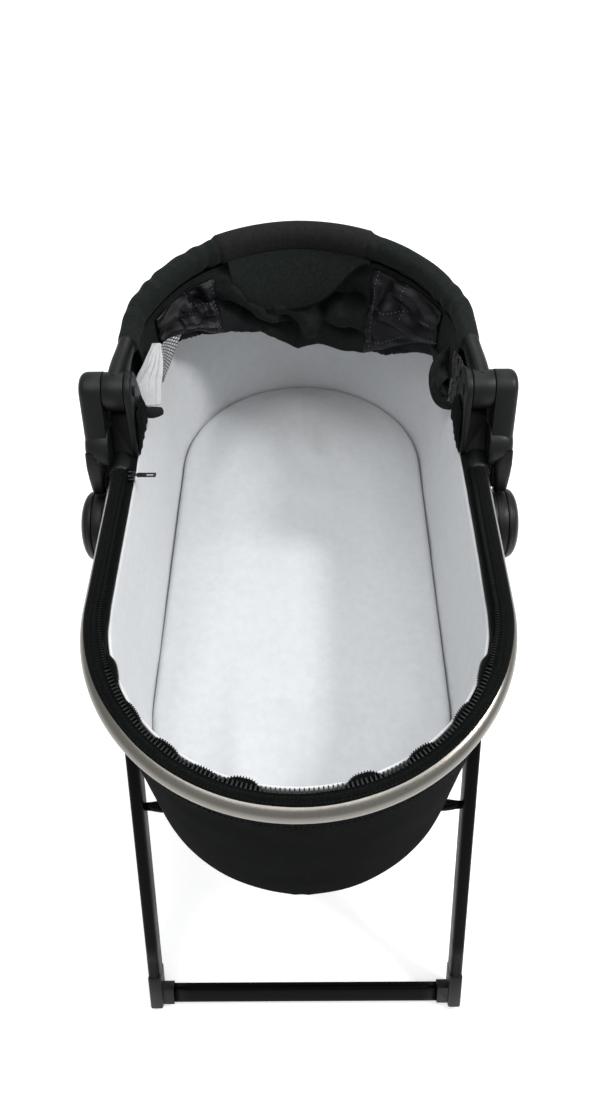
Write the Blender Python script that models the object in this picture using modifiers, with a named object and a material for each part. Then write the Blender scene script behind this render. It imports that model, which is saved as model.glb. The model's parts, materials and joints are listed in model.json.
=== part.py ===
"""Bassinet on a folding stand: carrycot with a fold-back canopy, clipped on two A-frames.

Metres, +Z up, floor at z = 0, +X to the right, the foot end towards -Y.
"""

import math

import bmesh
import bpy
from mathutils import Vector
from mathutils.geometry import convex_hull_2d

# Driving dimensions of the carrycot
RIM_Z = 0.717
RIM_TUBE_R = 0.011
RIM_HALF_WIDTH = 0.199
RIM_HALF_LENGTH = 0.394
RIM_CENTRE_Y = 0.0074
COLLAR_FOOT_Y = -0.0056
COLLAR_HEAD_Y = 0.0894
COLLAR_R = 0.0142
RIM_BORE_R = 0.0113
WEB_X = (0.1785, 0.1857)
NECK_X = (0.1850, 0.2078)
WEB_FEET_Y = (0.0224, 0.0754)
COVER_X = (0.2100, 0.2350)
SHELL_HALF_WIDTH = 0.2045
SHELL_TOP_Z = 0.7052
SHELL_BOTTOM_Z = 0.426
SHELL_CORNER_R = 0.024
SHELL_DRAFT = 0.016
SHELL_WALL = 0.0035
LINER_HALF_WIDTH = 0.1840
LINER_TOP_Z = 0.7215
LINER_BOTTOM_Z = 0.470
LINER_CORNER_R = 0.030
LINER_DRAFT = 0.0081
LINER_WALL = 0.003
MATTRESS_TOP_Z = 0.529
ZIP_Y = -0.0186
ZIP_PIVOT_X = -0.1808
DRUM_Y = 0.0479
DRUM_Z = 0.7931
DRUM_R = 0.0215

# Driving dimensions of the stand
HUB_Y = -0.0182
HUB_Z = 0.6469
HUB_R = 0.0405
LEG_LEAN = math.radians(29.6)
LEG_OFFSET = 0.015
LEG_X = 0.219
LEG_SECTION = (0.018, 0.029)
BAR_SECTION = (0.013, 0.029)
BAR_END_X = 0.1936
TUBE_WALL = 0.0016
LEG_START = 0.0503
BAR_AT = 0.7312
CROSSBAR_AT = 0.3925
ELBOW_LENGTH = 0.045
PAD_TOP_Z = 0.0027
PAD_HALF_WIDTH = 0.0075
PAD_REACH = (0.3690, 0.3808)
ELBOW_HALF = (0.0093, 0.0148)
PLUG_HALF = (0.0058, 0.0106)
CROSSBAR_R = 0.0080
CROSSBAR_END = (0.0076, 0.0065)
RIVET = (0.0018, 0.0045)
FRONT_DISC_X = (0.2238, 0.2347)
REAR_DISC_X = (0.2126, 0.2231)
FRONT_PIN_BORE_R = 0.0053
REAR_PIN_BORE_R = 0.00506
RECEIVER_LEAN = math.atan2(DRUM_Y - HUB_Y, DRUM_Z - HUB_Z)
SHOULDER_AT = 0.0985
SHOULDER_PROFILE = ((0.2085, 0.0248), (0.2150, 0.0250), (0.2240, 0.0240), (0.2310, 0.0218), (0.2348, 0.0180))
SEAT_GAP = 0.0006
# The receiver's sections: distance from the hub, inner and outer x, half depth
RECEIVER_STATIONS = (
    (0.0430, 0.2215, 0.2352, 0.0080), (0.0500, 0.2205, 0.2358, 0.0120), (0.0650, 0.2180, 0.2360, 0.0178),
    (0.0800, 0.2162, 0.2360, 0.0222), (0.0970, 0.2160, 0.2352, 0.0240),
)

# Driving dimensions of the canopy
BOW_TILT = math.radians(8.0)
BOW_BASE_Y = 0.0454
BOW_BASE_Z = 0.790
BOW_STATIONS = (
    (0.0735, 0.1935), (0.104, 0.1915), (0.131, 0.1865), (0.170, 0.1668),
    (0.206, 0.1375), (0.2355, 0.0975), (0.2545, 0.050), (0.2615, 0.0),
)
GRIP_HALF = 0.103
LINING_HEM_Z = 0.676
LINING_SIDE = 0.169
LINING_FADE = 0.110
PRESS_GAP = 0.0004
SIDES = {"l": -1, "r": 1}


def clear_scene():
    for obj in list(bpy.data.objects):
        bpy.data.objects.remove(obj, do_unlink=True)


def new_collection(name):
    collection = bpy.data.collections.new(name)
    bpy.context.scene.collection.children.link(collection)
    return collection


clear_scene()
PARTS = new_collection("bassinet_on_stand")
CUTTERS = new_collection("cutters")


def material(name, colour, roughness, metallic=0.0):
    mat = bpy.data.materials.new(name)
    mat.use_nodes = True
    shader = mat.node_tree.nodes["Principled BSDF"]
    shader.inputs["Base Color"].default_value = (*colour, 1.0)
    shader.inputs["Roughness"].default_value = roughness
    shader.inputs["Metallic"].default_value = metallic
    return mat


PAINT = ((0.020, 0.021, 0.022), 0.38, 0.3)
PLASTIC = ((0.018, 0.019, 0.020), 0.45, 0.0)
ALUMINIUM = ((0.62, 0.60, 0.56), 0.32, 1.0)
STEEL = ((0.55, 0.55, 0.56), 0.25, 1.0)
RUBBER = ((0.03, 0.03, 0.03), 0.8, 0.0)
BLACK_FABRIC = ((0.016, 0.019, 0.018), 0.95, 0.0)
WHITE_FABRIC = ((0.78, 0.79, 0.80), 0.9, 0.0)
BOARD = ((0.60, 0.57, 0.52), 0.7, 0.0)


# ---------------------------------------------------------------- tools

def finish(name, bm, look=None, smooth=True):
    """Turn a bmesh into a named object; a cutter has no look."""
    bm.normal_update()
    bmesh.ops.recalc_face_normals(bm, faces=bm.faces[:])
    if bm.calc_volume(signed=True) < 0:
        bmesh.ops.reverse_faces(bm, faces=bm.faces[:])
    mesh = bpy.data.meshes.new(name)
    bm.to_mesh(mesh)
    bm.free()
    obj = bpy.data.objects.new(name, mesh)
    if look is None:
        CUTTERS.objects.link(obj)
        obj.hide_render = True
        obj.display_type = "WIRE"
        return obj
    PARTS.objects.link(obj)
    mesh.materials.append(material(name, *look))
    if smooth:
        for polygon in mesh.polygons:
            polygon.use_smooth = True
    return obj


def boolean(obj, other, operation):
    modifier = obj.modifiers.new(operation.lower(), "BOOLEAN")
    modifier.operation = operation
    modifier.solver = "EXACT"
    modifier.object = other


def bevel(obj, width, segments=2, angle=40.0):
    modifier = obj.modifiers.new("rounded_edges", "BEVEL")
    modifier.width = width
    modifier.segments = segments
    modifier.limit_method = "ANGLE"
    modifier.angle_limit = math.radians(angle)


def thicken(obj, thickness):
    """Give an open surface a wall on its inner side."""
    modifier = obj.modifiers.new("wall", "SOLIDIFY")
    modifier.thickness = thickness
    modifier.offset = -1.0


def skin(name, rings, look=None, closed=False, caps=True):
    """Join rings of points in order; closed joins the last ring to the first."""
    bm = bmesh.new()
    loops = [[bm.verts.new(point) for point in ring] for ring in rings]
    size = len(loops[0])
    pairs = list(zip(loops, loops[1:]))
    if closed:
        pairs.append((loops[-1], loops[0]))
    for first, second in pairs:
        for i in range(size):
            j = (i + 1) % size
            bm.faces.new((first[i], first[j], second[j], second[i]))
    if caps and not closed:
        bm.faces.new(loops[0])
        bm.faces.new(loops[-1])
    return finish(name, bm, look)


def turned(name, profile, centre, side=1, look=None, bore=0.0, axis="X", steps=24):
    """Turn (distance along the axis, radius) stations about X or Y; a bore makes it a ring."""
    stations = list(profile)
    if bore:
        stations += [(profile[-1][0], bore), (profile[0][0], bore)]
    rings = []
    for along, radius in stations:
        ring = []
        for k in range(steps):
            turn = 2 * math.pi * k / steps
            a = radius * math.cos(turn)
            b = radius * math.sin(turn)
            if axis == "X":
                ring.append((side * along, centre[0] + a, centre[1] + b))
            else:
                ring.append((side * centre[0] + a, along, centre[1] + b))
        rings.append(ring)
    return skin(name, rings, look, closed=bool(bore))


def plate(name, circles, x_inner, x_outer, side, look=None):
    """Extrude along X the outline that wraps the circles (y, z, radius)."""
    steps = 24
    points = []
    for y, z, radius in circles:
        for k in range(steps):
            turn = 2 * math.pi * k / steps
            points.append((y + radius * math.cos(turn), z + radius * math.sin(turn)))
    outline = [points[i] for i in convex_hull_2d(points)]
    rings = [[(side * x, y, z) for y, z in outline] for x in (x_inner, x_outer)]
    return skin(name, rings, look)


def block(name, low, high, place, look=None):
    """A box between two corners in the local axes that place() maps to the object's axes."""
    bm = bmesh.new()
    bmesh.ops.create_cube(bm, size=1.0)
    for vert in bm.verts:
        unit = [c + 0.5 for c in vert.co]
        vert.co = place(*[a + (b - a) * t for a, b, t in zip(low, high, unit)])
    return finish(name, bm, look, smooth=False)


def rounded_rectangle(width, height, radius, steps=4):
    points = []
    for corner in range(4):
        cx = (width / 2 - radius) * (1 if corner in (0, 3) else -1)
        cy = (height / 2 - radius) * (1 if corner in (0, 1) else -1)
        for k in range(steps + 1):
            turn = math.pi / 2 * (corner + k / steps)
            points.append((cx + radius * math.cos(turn), cy + radius * math.sin(turn)))
    return points


def sweep(name, path, section, up, look=None, hollow=0.0, size=None):
    """Sweep a section (side, up) along a path; size(i) scales it at station i."""
    rings = []
    for i, point in enumerate(path):
        before = path[max(i - 1, 0)]
        after = path[min(i + 1, len(path) - 1)]
        tangent = (Vector(after) - Vector(before)).normalized()
        across = tangent.cross(Vector(up)).normalized()
        over = across.cross(tangent).normalized()
        scale = size(i) if size else (1.0, 1.0)
        rings.append([
            Vector(point) + across * (a * scale[0]) + over * (b * scale[1]) for a, b in section
        ])
    obj = skin(name, rings, look, caps=not hollow)
    if hollow:
        thicken(obj, hollow)
    return obj


def circle(radius, steps):
    return [
        (radius * math.cos(2 * math.pi * k / steps), radius * math.sin(2 * math.pi * k / steps))
        for k in range(steps)
    ]


def stadium(inset, z, steps=16):
    """Closed loop parallel to the rim's centre line, from the foot's left corner round."""
    radius = RIM_HALF_WIDTH - inset
    centre = RIM_HALF_LENGTH - RIM_HALF_WIDTH
    points = []
    for end in (-1, 1):
        for k in range(steps + 1):
            turn = math.pi * (k / steps) + (math.pi if end < 0 else 0.0)
            y = RIM_CENTRE_Y + end * centre + radius * math.sin(turn)
            points.append((radius * math.cos(turn), y, z))
    return points


def half_loop(inset, z, end, stop_y, steps=20):
    """Open U parallel to the rim, round one end, stopping at stop_y on both sides."""
    radius = RIM_HALF_WIDTH - inset
    centre = RIM_CENTRE_Y + end * (RIM_HALF_LENGTH - RIM_HALF_WIDTH)
    sides = [centre + (stop_y - centre) * k / 4 for k in (4, 3, 2, 1)]
    arc = []
    for k in range(steps + 1):
        turn = math.pi * k / steps
        arc.append((-radius * math.cos(turn), centre + end * radius * math.sin(turn), z))
    left = [(-radius, y, z) for y in sides]
    right = [(radius, y, z) for y in reversed(sides)]
    return left + arc + right


def bow_point(reach, x, lift=0.0):
    """Point on the canopy bow's plane: reach from its base line, lift square to the plane."""
    y = BOW_BASE_Y + reach * math.cos(BOW_TILT) - lift * math.sin(BOW_TILT)
    z = BOW_BASE_Z + reach * math.sin(BOW_TILT) + lift * math.cos(BOW_TILT)
    return Vector((x, y, z))


def through(knots, count):
    """Even samples of a Catmull-Rom curve through the knots."""
    fine = []
    for i in range(len(knots) - 1):
        p0, p1 = knots[max(i - 1, 0)], knots[i]
        p2, p3 = knots[i + 1], knots[min(i + 2, len(knots) - 1)]
        for k in range(12):
            t = k / 12
            fine.append(tuple(
                0.5 * (2 * b + (c - a) * t + (2 * a - 5 * b + 4 * c - d) * t * t
                       + (3 * b - a - 3 * c + d) * t ** 3)
                for a, b, c, d in zip(p0, p1, p2, p3)
            ))
    fine.append(tuple(knots[-1]))
    lengths = [0.0]
    for a, b in zip(fine, fine[1:]):
        lengths.append(lengths[-1] + math.dist(a, b))
    samples = []
    j = 0
    for k in range(count):
        want = lengths[-1] * k / (count - 1)
        while j < len(lengths) - 2 and lengths[j + 1] < want:
            j += 1
        t = (want - lengths[j]) / (lengths[j + 1] - lengths[j])
        samples.append(tuple(a + (b - a) * t for a, b in zip(fine[j], fine[j + 1])))
    return samples


def smooth_stations(count):
    """Even samples (x, reach) along the bow, left to right."""
    half = [(-x, reach) for reach, x in BOW_STATIONS]
    return through(half + [(-x, reach) for x, reach in reversed(half[:-1])], count)


# ---------------------------------------------------------------- stand

def frame_place(end):
    """Map (x, distance down the leg, offset square to it) to the object's axes."""
    def place(x, down, off):
        y = HUB_Y + end * (math.sin(LEG_LEAN) * down + math.cos(LEG_LEAN) * off)
        z = HUB_Z - math.cos(LEG_LEAN) * down + math.sin(LEG_LEAN) * off
        return Vector((x, y, z))
    return place


def mirrored_block(name, low, high, place, side, look=None):
    return block(name, low, high, lambda x, down, off: place(side * x, down, off), look)


def make_leg(prefix, place, tag, side):
    section = rounded_rectangle(LEG_SECTION[1], LEG_SECTION[0], 0.0065)
    end = BAR_AT - ELBOW_LENGTH - PRESS_GAP
    path = [place(side * LEG_X, down, LEG_OFFSET) for down in (LEG_START, end)]
    sweep(f"{prefix}_leg_{tag}", path, section, (1, 0, 0), PAINT, hollow=TUBE_WALL)


def make_floor_bar(prefix, place):
    section = rounded_rectangle(BAR_SECTION[0], BAR_SECTION[1], 0.0045)
    down = place(0, 1, 0) - place(0, 0, 0)
    path = [place(x, BAR_AT, LEG_OFFSET) for x in (-BAR_END_X, BAR_END_X)]
    sweep(f"{prefix}_floor_bar", path, section, down, PAINT, hollow=TUBE_WALL)


def make_elbow(prefix, place, tag, side):
    """Corner piece with a plug for the leg and one for the bar, cut flat above its pad."""
    off = LEG_OFFSET
    top = BAR_AT - ELBOW_LENGTH
    obj = mirrored_block(
        f"{prefix}_elbow_{tag}", (LEG_X - ELBOW_HALF[0], top, off - ELBOW_HALF[1]),
        (LEG_X + ELBOW_HALF[0], BAR_AT + 0.017, off + ELBOW_HALF[1]), place, side, PLASTIC)
    bevel(obj, 0.003)
    pieces = {
        "corner": ((BAR_END_X + PRESS_GAP, BAR_AT - 0.015, off - 0.0078),
                   (LEG_X - 0.007, BAR_AT + 0.015, off + 0.0078)),
        "bar_plug": ((BAR_END_X - 0.0216, BAR_AT - 0.0112, off - 0.0036),
                     (BAR_END_X + 0.0014, BAR_AT + 0.0112, off + 0.0036)),
        "leg_plug": ((LEG_X - PLUG_HALF[0], top - 0.028, off - PLUG_HALF[1]),
                     (LEG_X + PLUG_HALF[0], top + 0.002, off + PLUG_HALF[1])),
    }
    for label, (low, high) in pieces.items():
        boolean(obj, mirrored_block(f"{prefix}_{label}_{tag}", low, high, place, side), "UNION")
    floor = block(f"{prefix}_floor_cut_{tag}", (-0.4, -0.6, -0.05), (0.4, 0.6, PAD_TOP_Z + PRESS_GAP),
                  lambda x, y, z: Vector((x, y, z)))
    boolean(obj, floor, "DIFFERENCE")


def make_pad(prefix, end, tag, side):
    near, far = sorted(HUB_Y + end * reach for reach in PAD_REACH)
    obj = block(f"{prefix}_foot_{tag}", (LEG_X - PAD_HALF_WIDTH, near, 0.0),
                (LEG_X + PAD_HALF_WIDTH, far, PAD_TOP_Z), lambda x, y, z: Vector((side * x, y, z)), RUBBER)
    bevel(obj, 0.0007)


def make_crossbar(prefix, place):
    centre = place(0, CROSSBAR_AT, LEG_OFFSET)
    end = LEG_X - LEG_SECTION[0] / 2 - PRESS_GAP
    taper, end_r = CROSSBAR_END
    profile = [(-end, end_r), (taper - end, CROSSBAR_R), (end - taper, CROSSBAR_R), (end, end_r)]
    turned(f"{prefix}_crossbar", profile, centre.yz, 1, PAINT, bore=0.0052, steps=20)


def make_rivet(prefix, place, tag, side):
    """Domed rivet head on the leg's outer face, at the crossbar."""
    centre = place(0, CROSSBAR_AT, LEG_OFFSET)
    face = LEG_X + LEG_SECTION[0] / 2 + 0.0003
    height, radius = RIVET
    profile = [(face, radius), (face + 0.4 * height, 0.96 * radius), (face + 0.83 * height, 0.67 * radius),
               (face + height, 0.27 * radius)]
    turned(f"{prefix}_rivet_{tag}", profile, centre.yz, side, STEEL, steps=16)


def make_hub_half(name, place, side, disc, other, bore):
    """Hub disc with a plug for its leg, cleared for the other half's disc."""
    hub = (HUB_Y, HUB_Z)
    obj = turned(name, [(disc[0], HUB_R), (disc[1], HUB_R)], hub, side, PLASTIC, steps=48)
    off = LEG_OFFSET
    plug = mirrored_block(f"{name}_plug", (LEG_X - PLUG_HALF[0], 0.0, off - PLUG_HALF[1]),
                          (LEG_X + PLUG_HALF[0], 0.098, off + PLUG_HALF[1]), place, side)
    boolean(obj, plug, "UNION")
    shoulder = mirrored_block(f"{name}_shoulder", (LEG_X - 0.0084, 0.030, off - 0.0140),
                              (LEG_X + 0.0084, LEG_START - PRESS_GAP, off + 0.0140), place, side)
    boolean(obj, shoulder, "UNION")
    clearance = turned(f"{name}_clearance", [(other[0], HUB_R + 0.0005), (other[1], HUB_R + 0.0005)],
                       hub, side, steps=48)
    boolean(obj, clearance, "DIFFERENCE")
    pin_hole = turned(f"{name}_pin_hole", [(0.2000, bore), (0.2400, bore)], hub, side)
    boolean(obj, pin_hole, "DIFFERENCE")
    return obj


def receiver_point(along):
    return (HUB_Y + along * math.sin(RECEIVER_LEAN), HUB_Z + along * math.cos(RECEIVER_LEAN))


def make_receiver(tag, side):
    """Tapered blade with a round seat and the socket that takes the carrycot's post."""
    def along_post(x, along, across):
        y, z = receiver_point(along)
        return Vector((side * x, y + across * math.cos(RECEIVER_LEAN), z - across * math.sin(RECEIVER_LEAN)))

    rings = []
    for along, inner, outer, half in RECEIVER_STATIONS:
        outline = rounded_rectangle(outer - inner, 2 * half, 0.0045, 3)
        rings.append([along_post((inner + outer) / 2 + a, along, b) for a, b in outline])
    obj = skin(f"receiver_{tag}", rings, PLASTIC)
    seat_profile = [(0.2000, SHOULDER_PROFILE[0][1] + SEAT_GAP)]
    seat_profile += [(x + SEAT_GAP, radius + SEAT_GAP) for x, radius in SHOULDER_PROFILE]
    seat_profile.append((0.2400, SHOULDER_PROFILE[-1][1] + SEAT_GAP))
    seat = turned(f"receiver_seat_{tag}", seat_profile, receiver_point(SHOULDER_AT), side, steps=36)
    boolean(obj, seat, "DIFFERENCE")
    slot = block(f"receiver_slot_{tag}", (0.2194, 0.0575, -0.0088), (0.2256, 0.1, 0.0088), along_post)
    boolean(obj, slot, "DIFFERENCE")


def make_hub(tag, side, front, rear):
    make_hub_half(f"front_hub_{tag}", front, side, FRONT_DISC_X, (0.2000, 0.2236), FRONT_PIN_BORE_R)
    make_hub_half(f"rear_hub_{tag}", rear, side, REAR_DISC_X, (0.2233, 0.2400), REAR_PIN_BORE_R)
    hub = (HUB_Y, HUB_Z)
    pin = [(0.2098, 0.0085), (0.2120, 0.0085), (0.2121, 0.0050), (0.2345, 0.0050)]
    turned(f"hinge_pin_{tag}", pin, hub, side, STEEL)
    dome = [(0.2351, 0.0410), (0.2385, 0.0412), (0.2420, 0.0395), (0.2455, 0.0350),
            (0.2482, 0.0290), (0.2495, 0.0225), (0.2500, 0.0165), (0.2498, 0.0155)]
    turned(f"hub_cover_{tag}", dome, hub, side, PLASTIC, bore=0.0155, steps=36)
    button = [(0.2386, 0.0150), (0.2500, 0.0150), (0.2512, 0.0140), (0.2518, 0.0100), (0.2520, 0.0040)]
    turned(f"fold_button_{tag}", button, hub, side, PLASTIC, steps=28)


def make_stand():
    front = frame_place(-1)
    rear = frame_place(1)
    for prefix, place, end in (("front", front, -1), ("rear", rear, 1)):
        make_floor_bar(prefix, place)
        make_crossbar(prefix, place)
        for tag, side in SIDES.items():
            make_leg(prefix, place, tag, side)
            make_elbow(prefix, place, tag, side)
            make_pad(prefix, end, tag, side)
            make_rivet(prefix, place, tag, side)
    for tag, side in SIDES.items():
        make_hub(tag, side, front, rear)
        make_receiver(tag, side)


# ---------------------------------------------------------------- carrycot

def make_rim():
    middle = (COLLAR_FOOT_Y + COLLAR_HEAD_Y) / 2
    for name, end in (("rim_foot_tube", -1), ("rim_head_tube", 1)):
        path = half_loop(0.0, RIM_Z, end, middle + end * 0.003)
        sweep(name, path, circle(RIM_TUBE_R, 14), (0, 0, 1), ALUMINIUM, hollow=TUBE_WALL)


def collar_clearance(name, side):
    """Cutter that keeps a part clear of the collar on the rim."""
    stations = [(COLLAR_FOOT_Y - 0.001, COLLAR_R + 0.0006), (COLLAR_HEAD_Y + 0.001, COLLAR_R + 0.0006)]
    return turned(name, stations, (RIM_HALF_WIDTH, RIM_Z), side, axis="Y")


def make_side_housing(tag, side):
    """Collar on the rim's joint with a web up to the canopy drum and a flange inside it."""
    drum = (DRUM_Y, DRUM_Z)
    collar = [(COLLAR_FOOT_Y, 0.0128), (COLLAR_FOOT_Y + 0.004, 0.0136), (0.0174, COLLAR_R),
              (COLLAR_HEAD_Y - 0.004, COLLAR_R), (COLLAR_HEAD_Y, 0.0136)]
    obj = turned(f"side_housing_{tag}", collar, (RIM_HALF_WIDTH, RIM_Z), side, PLASTIC,
                 bore=RIM_BORE_R, axis="Y", steps=28)
    foot_y, head_y = WEB_FEET_Y
    web = plate(f"side_web_{tag}", [(foot_y, 0.7335, 0.009), (head_y, 0.7335, 0.009), (*drum, DRUM_R)],
                *WEB_X, side)
    bevel(web, 0.0015)
    boolean(obj, web, "UNION")
    neck = plate(f"side_neck_{tag}", [(foot_y, 0.7155, 0.009), (head_y, 0.7155, 0.009),
                                     (DRUM_Y, DRUM_Z - 0.036, 0.012)], *NECK_X, side)
    room = turned(f"arm_room_{tag}", [(WEB_X[1], DRUM_R + 0.0010), (0.2200, DRUM_R + 0.0010)],
                  drum, side, steps=40)
    boolean(neck, room, "DIFFERENCE")
    boolean(obj, neck, "UNION")
    rim_room = turned(f"rim_room_{tag}",
                      [(COLLAR_FOOT_Y - 0.01, RIM_BORE_R), (COLLAR_HEAD_Y + 0.01, RIM_BORE_R)],
                      (RIM_HALF_WIDTH, RIM_Z), side, axis="Y", steps=28)
    boolean(obj, rim_room, "DIFFERENCE")
    hole = turned(f"web_hole_{tag}", [(0.17, 0.0044), (0.195, 0.0044)], drum, side)
    boolean(obj, hole, "DIFFERENCE")


def make_side_cover(tag, side):
    """Outer casing from the drum down to its domed shoulder, with the post that plugs in."""
    shoulder = receiver_point(SHOULDER_AT)
    obj = plate(f"side_cover_{tag}", [(DRUM_Y, DRUM_Z, DRUM_R), (*shoulder, 0.0185)], *COVER_X,
                side, PLASTIC)
    bevel(obj, 0.0060)
    dome = turned(f"cover_shoulder_{tag}", SHOULDER_PROFILE, shoulder, side, steps=36)
    boolean(obj, dome, "UNION")
    boolean(obj, collar_clearance(f"cover_collar_room_{tag}", side), "DIFFERENCE")
    post = plate(f"cover_post_{tag}", [(*shoulder, 0.008), (*receiver_point(0.0665), 0.008)],
                 0.2199, 0.2251, side)
    boolean(obj, post, "UNION")
    pin_hole = turned(f"cover_pin_hole_{tag}", [(0.2, 0.0044), (0.2210, 0.0044)], (DRUM_Y, DRUM_Z), side)
    boolean(obj, pin_hole, "DIFFERENCE")
    pocket = turned(f"cover_pocket_{tag}", [(0.2310, 0.0094), (0.24, 0.0094)],
                    receiver_point(SHOULDER_AT + 0.004), side, steps=40)
    boolean(obj, pocket, "DIFFERENCE")
    button = [(0.2332, 0.0090), (0.2353, 0.0090), (0.2361, 0.0082), (0.2365, 0.0055)]
    turned(f"release_button_{tag}", button, receiver_point(SHOULDER_AT + 0.004), side, PLASTIC, steps=28)


def bowl_rings(half_width, top, bottom, corner, draft):
    """Stadium rings down a tub's wall and round its bottom edge."""
    rings = []
    inset = RIM_HALF_WIDTH - half_width
    upright = top - bottom - corner
    for share in (0.0, 0.05, 0.35, 0.7, 1.0):
        rings.append(stadium(inset + draft * share, top - upright * share))
    for degrees in (18, 36, 54, 72, 90):
        turn = math.radians(degrees)
        over = corner * (1 - math.cos(turn))
        rings.append(stadium(inset + draft + over, bottom + corner * (1 - math.sin(turn))))
    return rings


def make_tub(name, half_width, top, bottom, corner, draft, wall, look):
    rings = bowl_rings(half_width, top, bottom, corner, draft)
    bm = bmesh.new()
    loops = [[bm.verts.new(point) for point in ring] for ring in rings]
    for first, second in zip(loops, loops[1:]):
        for i in range(len(first)):
            j = (i + 1) % len(first)
            bm.faces.new((first[i], first[j], second[j], second[i]))
    floor = bm.faces.new(loops[-1])
    floor.normal_update()
    obj = finish(name, bm, look)
    thicken(obj, wall)
    return obj


def make_pad_solid(name, half_width, low, high, round_r, look):
    """Closed mattress or board in the rim's outline, with rounded edges."""
    inset = RIM_HALF_WIDTH - half_width
    rings = [stadium(inset + round_r, low), stadium(inset, low + round_r),
             stadium(inset, high - round_r), stadium(inset + round_r * 0.3, high - round_r * 0.3),
             stadium(inset + round_r, high)]
    skin(name, rings, look)


def make_zip_band(name, end, stop_y):
    """Fabric band over the rim tube's inner half, from the tube's top to the liner."""
    section = [
        (0.0062, 0.0114), (0.003, 0.0134), (-0.003, 0.0138), (-0.008, 0.0130), (-0.0120, 0.0112),
        (-0.0158, 0.0092), (-0.0158, 0.0068), (-0.0110, 0.0070), (-0.0085, 0.0082), (-0.003, 0.0113),
        (0.003, 0.0113), (0.0054, 0.0102),
    ]
    path = half_loop(0.0, RIM_Z, end, stop_y)
    # The tangent runs left to right round the foot, so the outward side flips between the ends.
    outline = [(-end * a, b) for a, b in section]
    sweep(name, path, outline, (0, 0, 1), BLACK_FABRIC)


def make_zip():
    """Slider with two ears and a cross pin, and the pull that hangs on the pin."""
    def plain(x, y, z):
        return Vector((x, y, z))

    y = ZIP_Y
    z = RIM_Z + 0.0124
    pivot = (ZIP_PIVOT_X, z + 0.0036)
    body = block("zip_slider", (-0.1868, y - 0.006, z), (-0.1795, y + 0.006, z + 0.0015), plain, STEEL)
    bevel(body, 0.0005, 1)
    for label, low, high in (("ear_foot", y - 0.0042, y - 0.0022), ("ear_head", y + 0.0022, y + 0.0042)):
        ear = block(f"zip_{label}", (-0.1860, low, z + 0.0005), (-0.1795, high, z + 0.0050), plain)
        boolean(body, ear, "UNION")
    pin = turned("zip_pin", [(y - 0.0038, 0.0006), (y + 0.0038, 0.0006)], pivot, axis="Y", steps=12)
    boolean(body, pin, "UNION")
    pull = turned("zip_pull", [(y - 0.0015, 0.0018), (y + 0.0015, 0.0018)], pivot, 1, STEEL, bore=0.0010,
                  axis="Y", steps=16)
    neck = block("zip_pull_neck", (ZIP_PIVOT_X + 0.0013, y - 0.0014, pivot[1] - 0.0012),
                 (ZIP_PIVOT_X + 0.0045, y + 0.0014, pivot[1] + 0.0002), plain)
    boolean(pull, neck, "UNION")
    tag = block("zip_pull_tag", (ZIP_PIVOT_X + 0.0038, y - 0.0032, pivot[1] - 0.0018),
                (-0.1560, y + 0.0032, pivot[1] - 0.0002), plain)
    bevel(tag, 0.0005, 1)
    boolean(pull, tag, "UNION")
    eye = block("zip_pull_eye", (-0.1665, y - 0.0015, z - 0.01), (-0.1590, y + 0.0015, z + 0.01), plain)
    boolean(pull, eye, "DIFFERENCE")


def make_carrycot():
    make_rim()
    for tag, side in SIDES.items():
        make_side_housing(tag, side)
        make_side_cover(tag, side)
    shell = make_tub("outer_shell", SHELL_HALF_WIDTH, SHELL_TOP_Z, SHELL_BOTTOM_Z, SHELL_CORNER_R,
                     SHELL_DRAFT, SHELL_WALL, BLACK_FABRIC)
    for tag, side in SIDES.items():
        boolean(shell, collar_clearance(f"shell_notch_{tag}", side), "DIFFERENCE")
    make_tub("liner", LINER_HALF_WIDTH, LINER_TOP_Z, LINER_BOTTOM_Z, LINER_CORNER_R, LINER_DRAFT, LINER_WALL,
             WHITE_FABRIC)
    make_pad_solid("base_board", 0.160, LINER_BOTTOM_Z + 0.0140, LINER_BOTTOM_Z + 0.0180, 0.001, BOARD)
    make_pad_solid("mattress", 0.1716, LINER_BOTTOM_Z + 0.0186, MATTRESS_TOP_Z, 0.006, WHITE_FABRIC)
    make_zip_band("zip_band_foot", -1, COLLAR_FOOT_Y - 0.0012)
    make_zip_band("zip_band_head", 1, COLLAR_HEAD_Y + 0.0012)
    make_zip()


# ---------------------------------------------------------------- canopy

BOW_UP = (0.0, -math.sin(BOW_TILT), math.cos(BOW_TILT))


def make_bow_arm(tag, side):
    tip = bow_point(0.0620, 0.0)
    arm = plate(f"bow_arm_{tag}", [(DRUM_Y, DRUM_Z, 0.0130), (tip.y, tip.z, 0.0105)],
                0.1868, 0.2052, side, PLASTIC)
    bevel(arm, 0.0030)
    disc = turned(f"arm_disc_{tag}", [(0.1861, DRUM_R - 0.0004), (0.2094, DRUM_R - 0.0004)],
                  (DRUM_Y, DRUM_Z), side, steps=40)
    boolean(arm, disc, "UNION")
    bore = turned(f"arm_bore_{tag}", [(0.18, 0.00406), (0.215, 0.00406)], (DRUM_Y, DRUM_Z), side)
    boolean(arm, bore, "DIFFERENCE")
    pin = [(0.1772, 0.0060), (0.1782, 0.0060), (0.17825, 0.0040), (0.2205, 0.0040)]
    turned(f"canopy_pin_{tag}", pin, (DRUM_Y, DRUM_Z), side, STEEL)


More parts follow.
